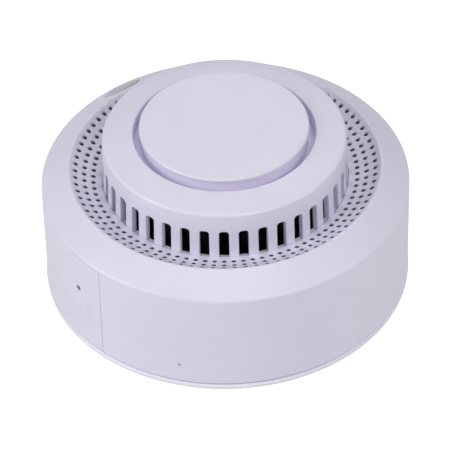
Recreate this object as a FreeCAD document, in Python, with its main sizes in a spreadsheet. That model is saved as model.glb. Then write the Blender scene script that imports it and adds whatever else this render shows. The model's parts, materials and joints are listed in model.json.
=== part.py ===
import FreeCAD, Part
import math
import os
import Sketcher
from FreeCAD import Placement, Rotation, Vector

# Ceiling smoke detector lying on its back, in millimetres; +Z runs from the ceiling out to the test button.
# The origin is the centre of the mounting bracket's back face. -Y is the front; the drawer is at the left.

DIMENSIONS = [
    # clearances shared by many pieces
    ("seat_gap", 0.02), ("contact_gap", 0.05), ("overlap", 0.2), ("beyond", 1.0),
    # mounting bracket
    ("bracket_radius", 50.6), ("bracket_plate", 1.8), ("bracket_chamfer", 0.5),
    ("bracket_rim_inner", 46.5), ("bracket_floor", 1.6),
    ("slot_width", 4.4), ("slot_travel", 5.0), ("slot_spacing_wide", 60.0),
    ("slot_spacing_narrow", 44.0),
    ("hook_inner", 39.0), ("hook_neck", 41.0), ("hook_outer", 44.0), ("hook_arc", 14.0),
    ("hook_lip_bottom", 3.5), ("hook_lip_top", 4.6),
    # rear cover
    ("cover_radius", 47.6), ("skirt_inner", 45.2), ("cover_bottom", 2.4), ("floor_bottom", 5.0),
    ("floor_top", 7.0), ("ledge_inner", 41.8), ("ledge_top", 3.2), ("ledge_arc", 18.0),
    ("ledge_shift", -1.0), ("stop_arc", 2.5), ("lock_stop", 9.3), ("free_stop", -29.5),
    ("hook_angle", 20.0),
    ("pad_radius", 4.0), ("screw_circle", 43.0), ("cover_screw_hole", 1.6), ("cover_screw_sink", 2.9),
    ("cover_sink_depth", 2.2), ("bay_inner", 13.75), ("bay_wall", 1.5), ("bay_end", -8.2),
    ("bay_mouth", 44.8), ("bay_top", 20.6), ("bay_lip_bottom", 19.4), ("bay_lip_inner", 12.6),
    ("post_radius", 2.75), ("post_top", 23.4), ("post_hole", 1.1), ("post_hole_depth", 9.0),
    ("siren_ring_wall", 1.0), ("siren_ring_gap", 0.15), ("siren_ring_top", 9.0),
    # outer housing
    ("body_radius", 50.0), ("body_draft", 0.4), ("wall", 2.0), ("body_bottom", 2.05),
    ("rim_chamfer", 0.4),
    ("crease_height", 31.8), ("crease_round", 1.1), ("inner_crease_height", 30.7),
    ("lip_radius", 42.35), ("lip_round", 0.7), ("inner_lip_radius", 42.1),
    ("dish_centre_radius", 30.1), ("dish_centre_height", 51.4), ("dish_curve", 19.3), ("dish_wall", 1.6),
    ("dish_inner", 33.55), ("sound_hole", 0.65), ("sound_row_outer", 40.7), ("sound_row_middle", 38.3),
    ("sound_row_inner", 35.85), ("boss_radius", 3.5), ("boss_bottom", 7.05), ("boss_top", 33.3),
    ("boss_hole", 1.2), ("boss_hole_depth", 12.0), ("door_angle", 38.0), ("door_top", 31.25),
    ("window_centre", 45.6), ("window_long", 6.0), ("window_short", 2.7), ("window_gap", 0.08),
    ("window_depth", 29.9), ("window_reach", 12.0), ("mark_radius", 0.45), ("mark_depth", 0.2),
    ("mark_height", 8.2),
    # battery drawer
    ("drawer_gap", 0.35), ("drawer_front_top", 31.1), ("tray_half_width", 13.4), ("tray_bottom", 7.25),
    ("tray_top", 18.9), ("tray_back", -6.6), ("tray_wall", 1.5), ("tray_floor", 1.2), ("tray_front", 45.3),
    ("tray_root", 48.6), ("front_inset", 0.15), ("pinhole", 0.85), ("pinhole_side", 7.8),
    ("pinhole_height", 20.0), ("pinhole_depth", 8.0),
    ("divider_height", 3.0), ("divider_half", 0.5), ("grip_start", -2.5), ("grip_arc", 0.8),
    ("grip_proud", 0.5), ("grip_root", 0.3), ("grip_low", 11.5), ("grip_high", 16.5),
    ("cell_radius", 5.25), ("cell_length", 43.5), ("cell_bevel", 0.45), ("nub_radius", 1.9),
    ("nub_length", 1.0),
    ("cell_side", 5.5), ("cell_height", 13.9), ("cell_clearance", 0.1),
    ("plate_thickness", 0.4), ("plate_half", 4.2), ("stud_radius", 1.2), ("stud_clearance", 0.1),
    ("stud_head", 0.4),
    ("cell_start", 0.3), ("cell_back", 39.9), ("cell_spring_wire", 0.35), ("cell_spring_radius", 3.2),
    ("cell_spring_length", 3.9), ("cell_spring_pitch", 1.5),
    ("leaf_half_width", 2.0), ("leaf_thickness", 0.35), ("leaf_bottom", 9.5), ("leaf_back", -8.1),
    ("leaf_bow", -7.35), ("leaf_tip", -7.9), ("leaf_bend_high", 17.2), ("bow_top", 14.4),
    ("bow_bottom", 13.4), ("leaf_bend_low", 11.0),
    # main board
    ("board_radius", 44.6), ("board_bottom", 23.5), ("board_thickness", 1.6), ("board_notch", 3.9),
    ("board_hole", 1.35), ("port_radius", 4.5), ("port_offset", -36.0),
    ("module_length", 18.0), ("module_width", 12.0), ("module_carrier", 0.8), ("can_length", 13.0),
    ("can_width", 10.0), ("can_height", 2.2), ("chip_side", 8.0), ("chip_height", 1.5), ("chip_y", -24.0),
    ("pin_dot_reach", 2.6), ("pin_dot_radius", 0.5), ("pin_dot_depth", 0.2),
    ("capacitor_radius", 4.0), ("capacitor_height", 11.0), ("capacitor_bevel", 0.4),
    ("crimp_low", 2.0), ("crimp_middle", 1.7), ("crimp_high", 1.4), ("crimp_depth", 0.3),
    ("inductor_radius", 4.5), ("inductor_height", 5.0), ("inductor_flange", 0.8), ("inductor_waist", 1.0),
    ("status_led_start", 42.4), ("status_led_length", 1.6), ("status_led_half", 1.6),
    ("status_led_height", 1.1),
    # screws
    ("housing_head", 2.7), ("housing_head_height", 1.9), ("housing_shank", 1.15),
    ("housing_screw_length", 12.0), ("screw_tip", 0.8),
    ("board_head", 2.3), ("board_head_height", 1.3), ("board_shank", 1.05), ("board_screw_length", 8.5),
    ("led_head", 1.5), ("led_head_height", 0.9), ("led_shank", 0.7), ("led_screw_length", 4.2),
    # indicator window
    ("window_proud", 0.35), ("lens_lift", 0.1), ("window_plate", 1.6), ("stem_reach", 44.7),
    ("stem_radius", 1.4),
    ("stem_bottom", 26.6), ("stem_length", 7.6), ("lens_blank", 10.0), ("lens_cut_inner", 41.0),
    ("lens_cut_outer", 51.0), ("lens_cut_high", 45.0), ("lens_cut_low", 29.0),
    # siren
    ("siren_x", -27.0), ("siren_y", 3.0), ("siren_radius", 14.4), ("siren_wall", 1.4),
    ("siren_bottom", 7.1), ("siren_ledge", 12.0), ("siren_step", 0.8), ("siren_split", 12.6),
    ("siren_bevel", 0.6), ("siren_top", 17.2), ("siren_port", 3.0), ("pin_radius", 0.5), ("pin_x", 6.0),
    ("pin_y", 3.0), ("piezo_radius", 12.8), ("piezo_thickness", 0.3), ("ceramic_radius", 9.5),
    ("ceramic_thickness", 0.25), ("glue_gap", 0.01),
    # smoke chamber
    ("chamber_foot_radius", 24.0), ("chamber_plate_radius", 31.2), ("chamber_plate_bottom", 26.6),
    ("chamber_plate_top", 28.2), ("chamber_rim_inner", 29.6), ("chamber_rim_top", 29.5),
    ("chamber_bottom", 25.15), ("cable_notch_half", 8.0), ("cable_notch_root", 0.3),
    ("lid_radius", 26.8), ("lid_bottom", 36.6), ("lid_top", 38.0), ("lid_bevel", 0.5),
    ("vane_inner", 20.5), ("vane_length", 6.2), ("vane_half", 0.5), ("vane_slant", 40.0),
    ("screen_radius", 27.6), ("screen_thickness", 0.3), ("screen_bottom", 28.25), ("screen_top", 37.9),
    ("screen_half_gap", 0.9), ("screen_border", 0.8), ("optic_radius", 2.5), ("optic_height", 31.8),
    ("optic_clearance", 0.1), ("optic_start", 11.5),
    ("holder_half", 3.6), ("holder_length", 9.0), ("holder_start", 9.5), ("holder_top", 35.4),
    ("optic_length", 5.5), ("lead_radius", 0.25), ("lead_length", 1.4), ("lead_side", 1.27),
    ("lead_root", 0.5),
    # cap
    ("cap_radius", 33.5), ("cap_wall", 1.6), ("cap_bottom", 29.6), ("cap_flange_radius", 35.0),
    ("cap_flange_top", 30.7), ("cap_edge_radius", 32.8), ("cap_edge_height", 46.1),
    ("cap_edge_round", 0.8), ("cap_opening", 24.5),
    ("cap_opening_height", 47.6), ("collar_wall", 1.7), ("collar_bottom", 44.0), ("collar_round", 0.35),
    ("vent_half_width", 1.34), ("vent_bottom", 31.6), ("vent_top", 40.7),
    ("vent_round", 0.9), ("cap_boss_circle", 28.9), ("cap_boss_radius", 2.2), ("cap_boss_bottom", 41.05),
    ("cap_boss_top", 45.6), ("cap_boss_hole", 0.75), ("cap_boss_hole_depth", 3.4),
    # button, light ring and switch
    ("ring_inner", 20.8), ("ring_outer", 22.3), ("ring_bottom", 42.6), ("ring_flange", 26.3),
    ("ring_flange_top", 43.6), ("ring_top", 48.7), ("disc_radius", 22.8), ("disc_top", 49.75),
    ("disc_rim_bottom", 48.8), ("disc_plate_bottom", 48.3), ("disc_round", 0.55), ("plug_inner", 19.4),
    ("plug_outer", 20.75), ("plug_bottom", 46.5), ("disc_boss", 2.5), ("disc_boss_bottom", 45.35),
    ("led_board_radius", 30.4), ("led_board_bottom", 39.8), ("led_board_thickness", 1.2),
    ("hole_clearance", 0.15), ("ring_led_circle", 23.5), ("ring_led_length", 3.5), ("ring_led_width", 2.8),
    ("ring_led_height", 0.7),
    ("switch_half", 3.1), ("switch_height", 3.4), ("switch_bore", 1.8), ("switch_bore_depth", 2.4),
    ("plunger_radius", 1.75), ("plunger_bottom", 42.6), ("plunger_top", 45.3), ("plunger_bevel", 0.3),
    ("spring_radius", 6.0), ("spring_wire", 0.3), ("spring_bottom", 41.4), ("spring_top", 47.9),
    ("spring_pitch", 1.7), ("cable_reach", 29.6), ("cable_thickness", 0.7), ("cable_half_width", 3.5),
]

DRAWER_TURN = -150.0          # degrees about Z from +X to the way the drawer opens
BOSS_ANGLES = (-48.0, 72.0, 192.0)       # housing screws, from the drawer's direction
WINDOW_ANGLE = -80.0                     # indicator window, from the drawer's direction
MARK_ANGLE = 46.0                        # alignment dot, from the drawer's direction
POST_PLACES = ((12.0, 31.0), (12.0, -31.0), (-24.0, 28.0), (-24.0, -28.0))
HOOK_TURNS = (0.0, 120.0, 240.0)
CAP_BOSS_ANGLES = (60.0, 180.0, 300.0)
CABLE_ANGLE = 90.0
HOLDER_SPREAD = 120.0         # degrees between the infrared LED's and the photodiode's holders
RING_LED_TURN = 20.0
GRIP_PITCH = 4.0
MODULE_CORNER = (-11.0, 20.0)
CAN_CORNER = (-10.0, 21.0)
CAPACITOR_SPOT = (-8.0, -31.0)
INDUCTOR_SPOT = (25.0, 27.0)
LED_NOSE = 1.5                # how far each optical part's barrel starts behind the holder's inner face
DIODE_NOSE = 2.0
CHAMBER_TURN = 200.0          # the infrared LED's side of the chamber
GRIP_COUNT = 5
VANE_COUNT = 24
SCREEN_COUNT = 24
VENT_COUNT = 40
SOUND_COLUMNS = 90
RING_LED_COUNT = 8
XY, XZ, YZ = "XY_Plane", "XZ_Plane", "YZ_Plane"

doc = FreeCAD.newDocument("smoke_detector")
sheet = doc.addObject("Spreadsheet::Sheet", "Dims")
for row, (alias, value) in enumerate(DIMENSIONS, start=1):
    sheet.set("A%d" % row, alias)
    sheet.set("B%d" % row, str(value))
    sheet.setAlias("B%d" % row, alias)
doc.recompute()

subparts = []


def size(alias):
    """A driving dimension as a number."""
    return float(getattr(sheet, alias))


def formula(text):
    """Turn a formula into a sheet expression; dimension names are wrapped in square brackets."""
    return str(text).replace("[", "Dims.").replace("]", "")


def number(text):
    """The present value of a formula."""
    result = sheet.evalExpression(formula(text))
    return float(getattr(result, "Value", result))


def turned(angle=DRAWER_TURN, centre=(0, 0, 0)):
    return Placement(Vector(*centre), Rotation(Vector(0, 0, 1), angle))


def spot_at(x, y):
    """A spot given in the drawer's own directions, in the object's frame."""
    spot = turned().multVec(Vector(x, y, 0))
    return (spot.x, spot.y, 0)


def new_body(name, place=None):
    body = doc.addObject("PartDesign::Body", name)
    body.Label = name
    if place is not None:
        body.Placement = place
    subparts.append(body)
    return body


def origin_feature(body, role):
    return next(item for item in body.Origin.OriginFeatures if item.Role == role)


def bind(sketch, constraint, text):
    index = sketch.addConstraint(constraint)
    sketch.setExpression("Constraints[%d]" % index, formula(text))


def sketch_on(body, name, plane):
    sketch = body.newObject("Sketcher::SketchObject", name)
    sketch.AttachmentSupport = [(origin_feature(body, plane), "")]
    sketch.MapMode = "FlatFace"
    return sketch


def pin_point(sketch, geometry, point, x, y):
    """Hold one point of the sketch at two formulas measured from the sketch's origin."""
    for direction, text, axis in (("DistanceX", x, -2), ("DistanceY", y, -1)):
        if abs(number(text)) > 1e-6:
            bind(sketch, Sketcher.Constraint(direction, -1, 1, geometry, point, number(text)), text)
        else:
            sketch.addConstraint(Sketcher.Constraint("PointOnObject", geometry, point, axis))


def outline(body, name, plane, corners, height=None):
    """A closed outline. A corner is (x, y), or (x, y, radius) where an arc of that radius leads to the
    next corner; a positive radius bulges to the left of travel and a negative one to the right."""
    sketch = sketch_on(body, name, plane)
    if height is not None:
        sketch.setExpression("AttachmentOffset.Base.z", formula(height))
    spots = [Vector(number(corner[0]), number(corner[1]), 0) for corner in corners]
    for index, corner in enumerate(corners):
        start, end = spots[index], spots[(index + 1) % len(spots)]
        if len(corner) == 3:
            sketch.addGeometry(arc_between(start, end, number(corner[2])))
            radius = Sketcher.Constraint("Radius", index, abs(number(corner[2])))
            bind(sketch, radius, "abs(%s)" % corner[2])
        else:
            sketch.addGeometry(Part.LineSegment(start, end))
    for index, corner in enumerate(corners):
        following = (index + 1) % len(corners)
        here = start_point(sketch, index, spots[index])
        there = start_point(sketch, following, spots[following])
        end_here = 2 if here == 1 else 1
        sketch.addConstraint(Sketcher.Constraint("Coincident", index, end_here, following, there))
        pin_point(sketch, index, here, corner[0], corner[1])
    return sketch


def start_point(sketch, index, spot):
    """1 or 2: which end of the geometry lies at the spot where it should begin."""
    return 1 if sketch.getPoint(index, 1).distanceToPoint(spot) < 1e-4 else 2


def arc_between(start, end, radius):
    chord = end - start
    middle = (start + end) * 0.5
    left = Vector(-chord.y, chord.x, 0)
    left.normalize()
    side = 1.0 if radius > 0 else -1.0
    rise = abs(radius) - math.sqrt(radius * radius - chord.Length * chord.Length / 4.0)
    return Part.Arc(start, middle + left * side * rise, end)


def circles(body, name, plane, spots, height=None):
    """Circles at (x, y, radius) formulas."""
    sketch = sketch_on(body, name, plane)
    if height is not None:
        sketch.setExpression("AttachmentOffset.Base.z", formula(height))
    for index, (x, y, radius) in enumerate(spots):
        centre = Vector(number(x), number(y), 0)
        sketch.addGeometry(Part.Circle(centre, Vector(0, 0, 1), number(radius)))
        bind(sketch, Sketcher.Constraint("Radius", index, number(radius)), radius)
        pin_point(sketch, index, 3, x, y)
    return sketch


def rectangle(body, name, plane, low_x, low_y, high_x, high_y, height=None):
    corners = [(low_x, low_y), (high_x, low_y), (high_x, high_y), (low_x, high_y)]
    return outline(body, name, plane, corners, height)


def volume(body):
    doc.recompute()
    return body.Shape.Volume


def feature(body, kind, name, sketch, grows, **settings):
    """Add a sketched feature and make sure that it really added or removed material."""
    before = volume(body) if body.Tip and body.Tip.isDerivedFrom("PartDesign::Feature") else 0.0
    item = body.newObject("PartDesign::" + kind, name)
    item.Profile = sketch
    for key, value in settings.items():
        if isinstance(value, str) and key != "Type":
            item.setExpression(key, formula(value))
        else:
            setattr(item, key, value)
    sketch.Visibility = False
    after = volume(body)
    if (after > before) != grows or abs(after - before) < 1e-6:
        raise RuntimeError("%s of %s changed nothing: %.3f to %.3f" % (name, body.Label, before, after))
    return item


def spin(body, name, corners, grows=True, angle=360.0, midplane=False):
    """Revolve an outline of (radius, height) corners about Z."""
    sketch = outline(body, name + "_profile", XZ, corners)
    settings = {"ReferenceAxis": (sketch, ["V_Axis"]), "Midplane": midplane}
    settings["Angle"] = angle if isinstance(angle, float) else "%s" % angle
    return feature(body, "Revolution" if grows else "Groove", name, sketch, grows, **settings)


def pad(body, name, sketch, length, **settings):
    return feature(body, "Pad", name, sketch, True, Length=length, **settings)


def cut(body, name, sketch, length, **settings):
    """Pocket upwards from the sketch."""
    return feature(body, "Pocket", name, sketch, False, Length=length, Reversed=True, **settings)


def cut_through(body, name, sketch, both=False):
    return feature(body, "Pocket", name, sketch, False, Type=1, Midplane=both, Reversed=True)


def around(body, name, features, count, angle=360.0):
    """Repeat features evenly about Z."""
    before = volume(body)
    pattern = body.newObject("PartDesign::PolarPattern", name)
    pattern.Originals = features
    pattern.Axis = (origin_feature(body, "Z_Axis"), [""])
    pattern.Angle = angle
    pattern.Occurrences = count
    body.Tip = pattern
    if abs(volume(body) - before) < 1e-6:
        raise RuntimeError("pattern %s of %s changed nothing" % (name, body.Label))
    return pattern


def round_circles(body, name, rings, radius):
    """Fillet the circular edges that lie at the given (radius, height) pairs."""
    doc.recompute()
    wanted = [(number(ring[0]), number(ring[1])) for ring in rings]
    edges = []
    for index, edge in enumerate(body.Shape.Edges, start=1):
        spot = body.Placement.inverse().multVec(edge.valueAt(edge.FirstParameter))
        reach = math.hypot(spot.x, spot.y)
        is_ring = isinstance(edge.Curve, Part.Circle) and abs(abs(edge.Curve.Axis.z) - 1.0) < 1e-6
        if is_ring and any(abs(reach - r) < 0.02 and abs(spot.z - z) < 0.02 for r, z in wanted):
            edges.append("Edge%d" % index)
    item = body.newObject("PartDesign::Fillet", name)
    item.Base = (body.Tip if body.Tip is not item else item.BaseFeature, edges)
    item.setExpression("Radius", formula(radius))
    doc.recompute()
    return item


def sector(body, name, inner, outer, start, end, height):
    """A ring sector between two angle formulas in degrees, counter-clockwise from +X."""
    def spot(reach, angle):
        return tuple("(%s) * %s((%s) * 1 deg)" % (reach, turn, angle) for turn in ("cos", "sin"))
    corners = [spot(inner, start), spot(outer, start) + ("-(%s)" % outer,), spot(outer, end),
               spot(inner, end) + (inner,)]
    return outline(body, name, XY, corners, height)


def polar(alias, angle):
    """Formulas for a spot at a driving radius and a fixed angle."""
    return ("[%s] * cos(%s deg)" % (alias, angle), "[%s] * sin(%s deg)" % (alias, angle))


def arc_height(reach, extra="0"):
    """Formula for the height of the dish's curve at a radius; extra thickens it downwards."""
    curve = "([dish_curve] + %s)" % extra
    return "[dish_centre_height] - sqrt(%s ^ 2 - (%s - [dish_centre_radius]) ^ 2)" % (curve, reach)


# ---------------------------------------------------------------- helpers for non-body pieces

def template_body(name, place=None):
    """A body that is only copied into a group and isn't a piece itself."""
    body = new_body(name, place)
    subparts.remove(body)
    return body


def sorted_pair(inner, outer, side):
    return (inner, outer) if side > 0 else ("-%s" % outer, "-%s" % inner)


def placed(shape, place):
    copy = shape.copy()
    copy.Placement = place.multiply(copy.Placement)
    return copy


def shape_node(name, shape, place):
    node = doc.addObject("Part::Feature", name)
    node.Label = name
    node.Shape = shape
    node.Placement = place
    subparts.append(node)


def group(name, source, places, place=None):
    """Identical pieces under one name, copied from one source."""
    doc.recompute()
    solids = [placed(source.Shape, spot) for spot in places]
    shape_node(name, Part.makeCompound(solids), turned() if place is None else place)


def primitive(kind, name, **sizes):
    item = doc.addObject(kind, name)
    for key, text in sizes.items():
        item.setExpression(key, formula(text))
    return item


def box(name, sizes, corner, bottom):
    item = primitive("Part::Box", name, Length="[%s]" % sizes[0], Width="[%s]" % sizes[1],
                     Height="[%s]" % sizes[2])
    item.Placement = Placement(Vector(corner[0], corner[1], 0), Rotation())
    item.setExpression("Placement.Base.z", formula(bottom))
    return item


def fused(name, pieces, place):
    node = doc.addObject("Part::MultiFuse", name)
    node.Label = name
    node.Shapes = pieces
    node.Placement = place
    subparts.append(node)


# ---------------------------------------------------------------- mounting bracket

def mounting_bracket():
    body = new_body("mounting_bracket")
    spin(body, "Plate", [
        ("0", "0"), ("[bracket_radius] - [bracket_chamfer]", "0"),
        ("[bracket_radius]", "[bracket_chamfer]"),
        ("[bracket_radius]", "[bracket_plate] - [bracket_chamfer]"),
        ("[bracket_radius] - [bracket_chamfer]", "[bracket_plate]"),
        ("[bracket_rim_inner]", "[bracket_plate]"),
        ("[bracket_rim_inner]", "[bracket_floor]"), ("0", "[bracket_floor]")])
    ends = []
    pairs = (("Wide", "[slot_spacing_wide]", True), ("Narrow", "[slot_spacing_narrow]", False))
    for name, spacing, along_x in pairs:
        for side in (-1, 1):
            low = "(%d * %s - [slot_travel]) / 2" % (side, spacing)
            high = "(%d * %s + [slot_travel]) / 2" % (side, spacing)
            half = ("-[slot_width] / 2", "[slot_width] / 2")
            box = (low, half[0], high, half[1]) if along_x else (half[0], low, half[1], high)
            cut_through(body, "%s_slot_%d" % (name, side + 1),
                        rectangle(body, "%s_sketch_%d" % (name, side + 1), XY, *box))
            ends += [(x, "0") if along_x else ("0", x) for x in (low, high)]
    round_ends = circles(body, "Slot_end_sketch", XY, [(x, y, "[slot_width] / 2") for x, y in ends])
    cut_through(body, "Slot_ends", round_ends)
    start, end = "([hook_angle] - [hook_arc] / 2)", "([hook_angle] + [hook_arc] / 2)"
    neck = sector(body, "Neck_sketch", "[hook_inner]", "[hook_neck]", start, end, "[bracket_floor]")
    post = pad(body, "Neck", neck, "[hook_lip_top] - [bracket_floor]")
    lip_sketch = sector(body, "Lip_sketch", "[hook_inner]", "[hook_outer]", start, end,
                        "[hook_lip_bottom]")
    lip = pad(body, "Lip", lip_sketch, "[hook_lip_top] - [hook_lip_bottom]")
    around(body, "Hooks", [post, lip], len(HOOK_TURNS))


# ---------------------------------------------------------------- rear cover

def rear_cover():
    body = new_body("rear_cover", turned())
    spin(body, "Cup", [
        ("0", "[floor_bottom]"), ("[skirt_inner]", "[floor_bottom]"), ("[skirt_inner]", "[cover_bottom]"),
        ("[cover_radius]", "[cover_bottom]"), ("[cover_radius]", "[floor_top]"), ("0", "[floor_top]")])
    bayonet(body)
    for index, angle in enumerate(BOSS_ANGLES):
        x, y = polar("screw_circle", angle)
        sketch = circles(body, "Pad_sketch_%d" % index, XY, [(x, y, "[pad_radius]")], "[cover_bottom]")
        pad(body, "Screw_pad_%d" % index, sketch, "[floor_bottom] - [cover_bottom]")
    holes = [polar("screw_circle", angle) for angle in BOSS_ANGLES]
    through = circles(body, "Screw_holes", XY, [(x, y, "[cover_screw_hole]") for x, y in holes])
    cut_through(body, "Screw_clearance", through)
    sinks = circles(body, "Sink_sketch", XY, [(x, y, "[cover_screw_sink]") for x, y in holes],
                    "[cover_bottom]")
    cut(body, "Screw_sinks", sinks, "[cover_sink_depth]")
    drawer_bay(body)
    board_posts(body)
    inner = "[siren_radius] + [siren_ring_gap]"
    ring = circles(body, "Siren_ring_sketch", XY, [
        ("[siren_x]", "[siren_y]", inner), ("[siren_x]", "[siren_y]", inner + " + [siren_ring_wall]")],
        "[floor_top]")
    pad(body, "Siren_ring", ring, "[siren_ring_top] - [floor_top]")


def bayonet(body):
    """Ledges that the bracket's hooks grip, and stops at both ends of their travel."""
    frame_turn = "([hook_angle] - (%g))" % (DRAWER_TURN + 120)
    spans = (("Ledge", "[ledge_shift]", "[ledge_arc]", "[ledge_top]"),
             ("Lock_stop", "[lock_stop]", "[stop_arc]", "[floor_bottom]"),
             ("Free_stop", "[free_stop]", "[stop_arc]", "[floor_bottom]"))
    made = []
    for name, middle, arc, top in spans:
        start, end = ["(%s + %s %s %s / 2)" % (frame_turn, middle, sign, arc) for sign in ("-", "+")]
        sketch = sector(body, name + "_sketch", "[ledge_inner]", "[cover_radius]", start, end,
                        "[cover_bottom]")
        made.append(pad(body, name, sketch, "%s - [cover_bottom]" % top))
    around(body, "Bayonet", made, len(HOOK_TURNS))


def drawer_bay(body):
    """Guide walls with inward lips, closed at the inner end by a wall with two contact openings."""
    outer = "([bay_inner] + [bay_wall])"
    for name, side in (("Left", 1), ("Right", -1)):
        low, high = sorted_pair("[bay_inner]", outer, side)
        sketch = rectangle(body, name + "_wall_sketch", XY, "[bay_end]", low, "[bay_mouth]", high,
                           "[floor_top]")
        pad(body, name + "_wall", sketch, "[bay_top] - [floor_top]")
        low, high = sorted_pair("[bay_lip_inner]", outer, side)
        sketch = rectangle(body, name + "_lip_sketch", XY, "[bay_end]", low, "[bay_mouth]", high,
                           "[bay_lip_bottom]")
        pad(body, name + "_lip", sketch, "[bay_top] - [bay_lip_bottom]")
    sketch = rectangle(body, "End_wall_sketch", XY, "[bay_end] - [bay_wall]", "-" + outer, "[bay_end]",
                       outer, "[floor_top]")
    pad(body, "End_wall", sketch, "[bay_top] - [floor_top]")


def board_posts(body):
    spots = [(str(x), str(y), "[post_radius]") for x, y in POST_PLACES]
    sketch = circles(body, "Post_sketch", XY, spots, "[floor_top]")
    pad(body, "Posts", sketch, "[post_top] - [floor_top]")
    spots = [(str(x), str(y), "[post_hole]") for x, y in POST_PLACES]
    sketch = circles(body, "Post_hole_sketch", XY, spots, "[post_top] - [post_hole_depth]")
    cut(body, "Post_holes", sketch, "[post_hole_depth]")


# ---------------------------------------------------------------- outer housing

def outer_housing():
    body = new_body("outer_housing", turned())
    shell = [
        ("[body_radius] - [wall]", "[body_bottom]"),
        ("[body_radius] + [body_draft] - [rim_chamfer]", "[body_bottom]"),
        ("[body_radius] + [body_draft]", "[body_bottom] + [rim_chamfer]"),
        ("[body_radius]", "[crease_height]"),
        ("[lip_radius]", arc_height("[lip_radius]"), "[dish_curve]"),
        ("[dish_inner]", arc_height("[dish_inner]")),
        ("[dish_inner]", arc_height("[dish_inner]", "[dish_wall]"), "-([dish_curve] + [dish_wall])"),
        ("[inner_lip_radius]", arc_height("[inner_lip_radius]", "[dish_wall]")),
        ("[body_radius] - [wall]", "[inner_crease_height]")]
    spin(body, "Shell", shell)
    round_circles(body, "Crease", [("[body_radius]", "[crease_height]")], "[crease_round]")
    round_circles(body, "Lip", [("[lip_radius]", arc_height("[lip_radius]"))], "[lip_round]")
    inner, outer = "[body_radius] - [wall] - [beyond]", "[body_radius] + [body_draft] + [beyond]"
    low = "[body_bottom] - [beyond]"
    door = [(inner, low), (outer, low), (outer, "[door_top]"), (inner, "[door_top]")]
    spin(body, "Drawer_opening", door, grows=False, angle="[door_angle]", midplane=True)
    window = window_outline(body, "Window_sketch", "[window_gap]", "[window_depth]")
    cut(body, "Window_opening", window, "[window_reach]")
    cut_dot(body)
    rows = [("[sound_row_%s]" % row, "0", "[sound_hole]") for row in ("outer", "middle", "inner")]
    holes = cut_through(body, "Sound_holes", circles(body, "Sound_hole_sketch", XY, rows))
    around(body, "Sound_hole_rows", [holes], SOUND_COLUMNS)
    spots = [polar("screw_circle", angle) for angle in BOSS_ANGLES]
    sketch = circles(body, "Boss_sketch", XY, [(x, y, "[boss_radius]") for x, y in spots],
                     "[boss_bottom]")
    pad(body, "Bosses", sketch, "[boss_top] - [boss_bottom]")
    sketch = circles(body, "Boss_hole_sketch", XY, [(x, y, "[boss_hole]") for x, y in spots],
                     "[boss_bottom]")
    cut(body, "Boss_holes", sketch, "[boss_hole_depth]")


def cut_dot(body):
    """A shallow alignment dot low in the side wall."""
    half_turn = "([mark_radius] / [body_radius] * 180 / pi)"
    sketch = sector(body, "Mark_sketch", "[body_radius] - [mark_depth]", "[body_radius] + [beyond]",
                    "%g - %s" % (MARK_ANGLE, half_turn), "%g + %s" % (MARK_ANGLE, half_turn),
                    "[mark_height] - [mark_radius]")
    cut(body, "Mark", sketch, "[mark_radius] * 2")


def window_outline(body, name, grow, height):
    """A pointed oval across the shoulder, its long way running around the body."""
    long_half, short_half = "([window_long] + %s)" % grow, "([window_short] + %s)" % grow
    curve = "((%s ^ 2 + %s ^ 2) / (2 * %s))" % (long_half, short_half, short_half)
    corners = []
    for side in (-1, 1):
        across, along = "[window_centre]", "(%d * %s)" % (side, long_half)
        cosine, sine = "cos(%g deg)" % WINDOW_ANGLE, "sin(%g deg)" % WINDOW_ANGLE
        x = "%s * %s - %s * %s" % (across, cosine, along, sine)
        y = "%s * %s + %s * %s" % (across, sine, along, cosine)
        corners.append((x, y, "-" + curve))
    return outline(body, name, XY, corners, height)


# ---------------------------------------------------------------- battery drawer

def battery_drawer():
    body = new_body("battery_drawer", turned())
    inside = "[body_radius] - [wall] + [front_inset]"
    front = [(inside, "[body_bottom]"),
             ("[body_radius] + [body_draft] - [rim_chamfer]", "[body_bottom]"),
             ("[body_radius] + [body_draft]", "[body_bottom] + [rim_chamfer]"),
             ("[body_radius]", "[drawer_front_top]"), (inside, "[drawer_front_top]")]
    spin(body, "Front", front, angle="[door_angle] - [drawer_gap]", midplane=True)
    sketch = rectangle(body, "Tray_sketch", XY, "[tray_back]", "-[tray_half_width]", "[tray_root]",
                       "[tray_half_width]", "[tray_bottom]")
    pad(body, "Tray", sketch, "[tray_top] - [tray_bottom]")
    inner = "([tray_half_width] - [tray_wall])"
    sketch = rectangle(body, "Trough_sketch", XY, "[tray_back] + [tray_wall]", "-" + inner,
                       "[tray_front]", inner, "[tray_bottom] + [tray_floor]")
    cut(body, "Trough", sketch, "[tray_top] - [tray_bottom]")
    sketch = rectangle(body, "Divider_sketch", XY, "[tray_back] + [tray_wall] - [overlap]",
                       "-[divider_half]", "[tray_front] - [beyond]", "[divider_half]",
                       "[tray_bottom] + [overlap]")
    pad(body, "Divider", sketch, "[divider_height]")
    grip = sector(body, "Grip_sketch", "[body_radius] - [grip_root]", "[body_radius] + [grip_proud]",
                  "[grip_start]", "[grip_start] + [grip_arc]", "[grip_low]")
    ribs = pad(body, "Grip", grip, "[grip_high] - [grip_low]")
    around(body, "Grips", [ribs], GRIP_COUNT, GRIP_PITCH * (GRIP_COUNT - 1))
    hole = ("[cell_height]", "[stud_radius] + [stud_clearance]")
    studs = circles(body, "Stud_sketch", YZ, [("%d * [cell_side]" % side,) + hole for side in (-1, 1)])
    feature(body, "Pocket", "Stud_holes", studs, False, Length="[tray_wall] - [tray_back]")
    pin = circles(body, "Pinhole_sketch", YZ, [("[pinhole_side]", "[pinhole_height]", "[pinhole]")],
                  "[tray_front]")
    cut(body, "Pinhole", pin, "[pinhole_depth]")


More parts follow.
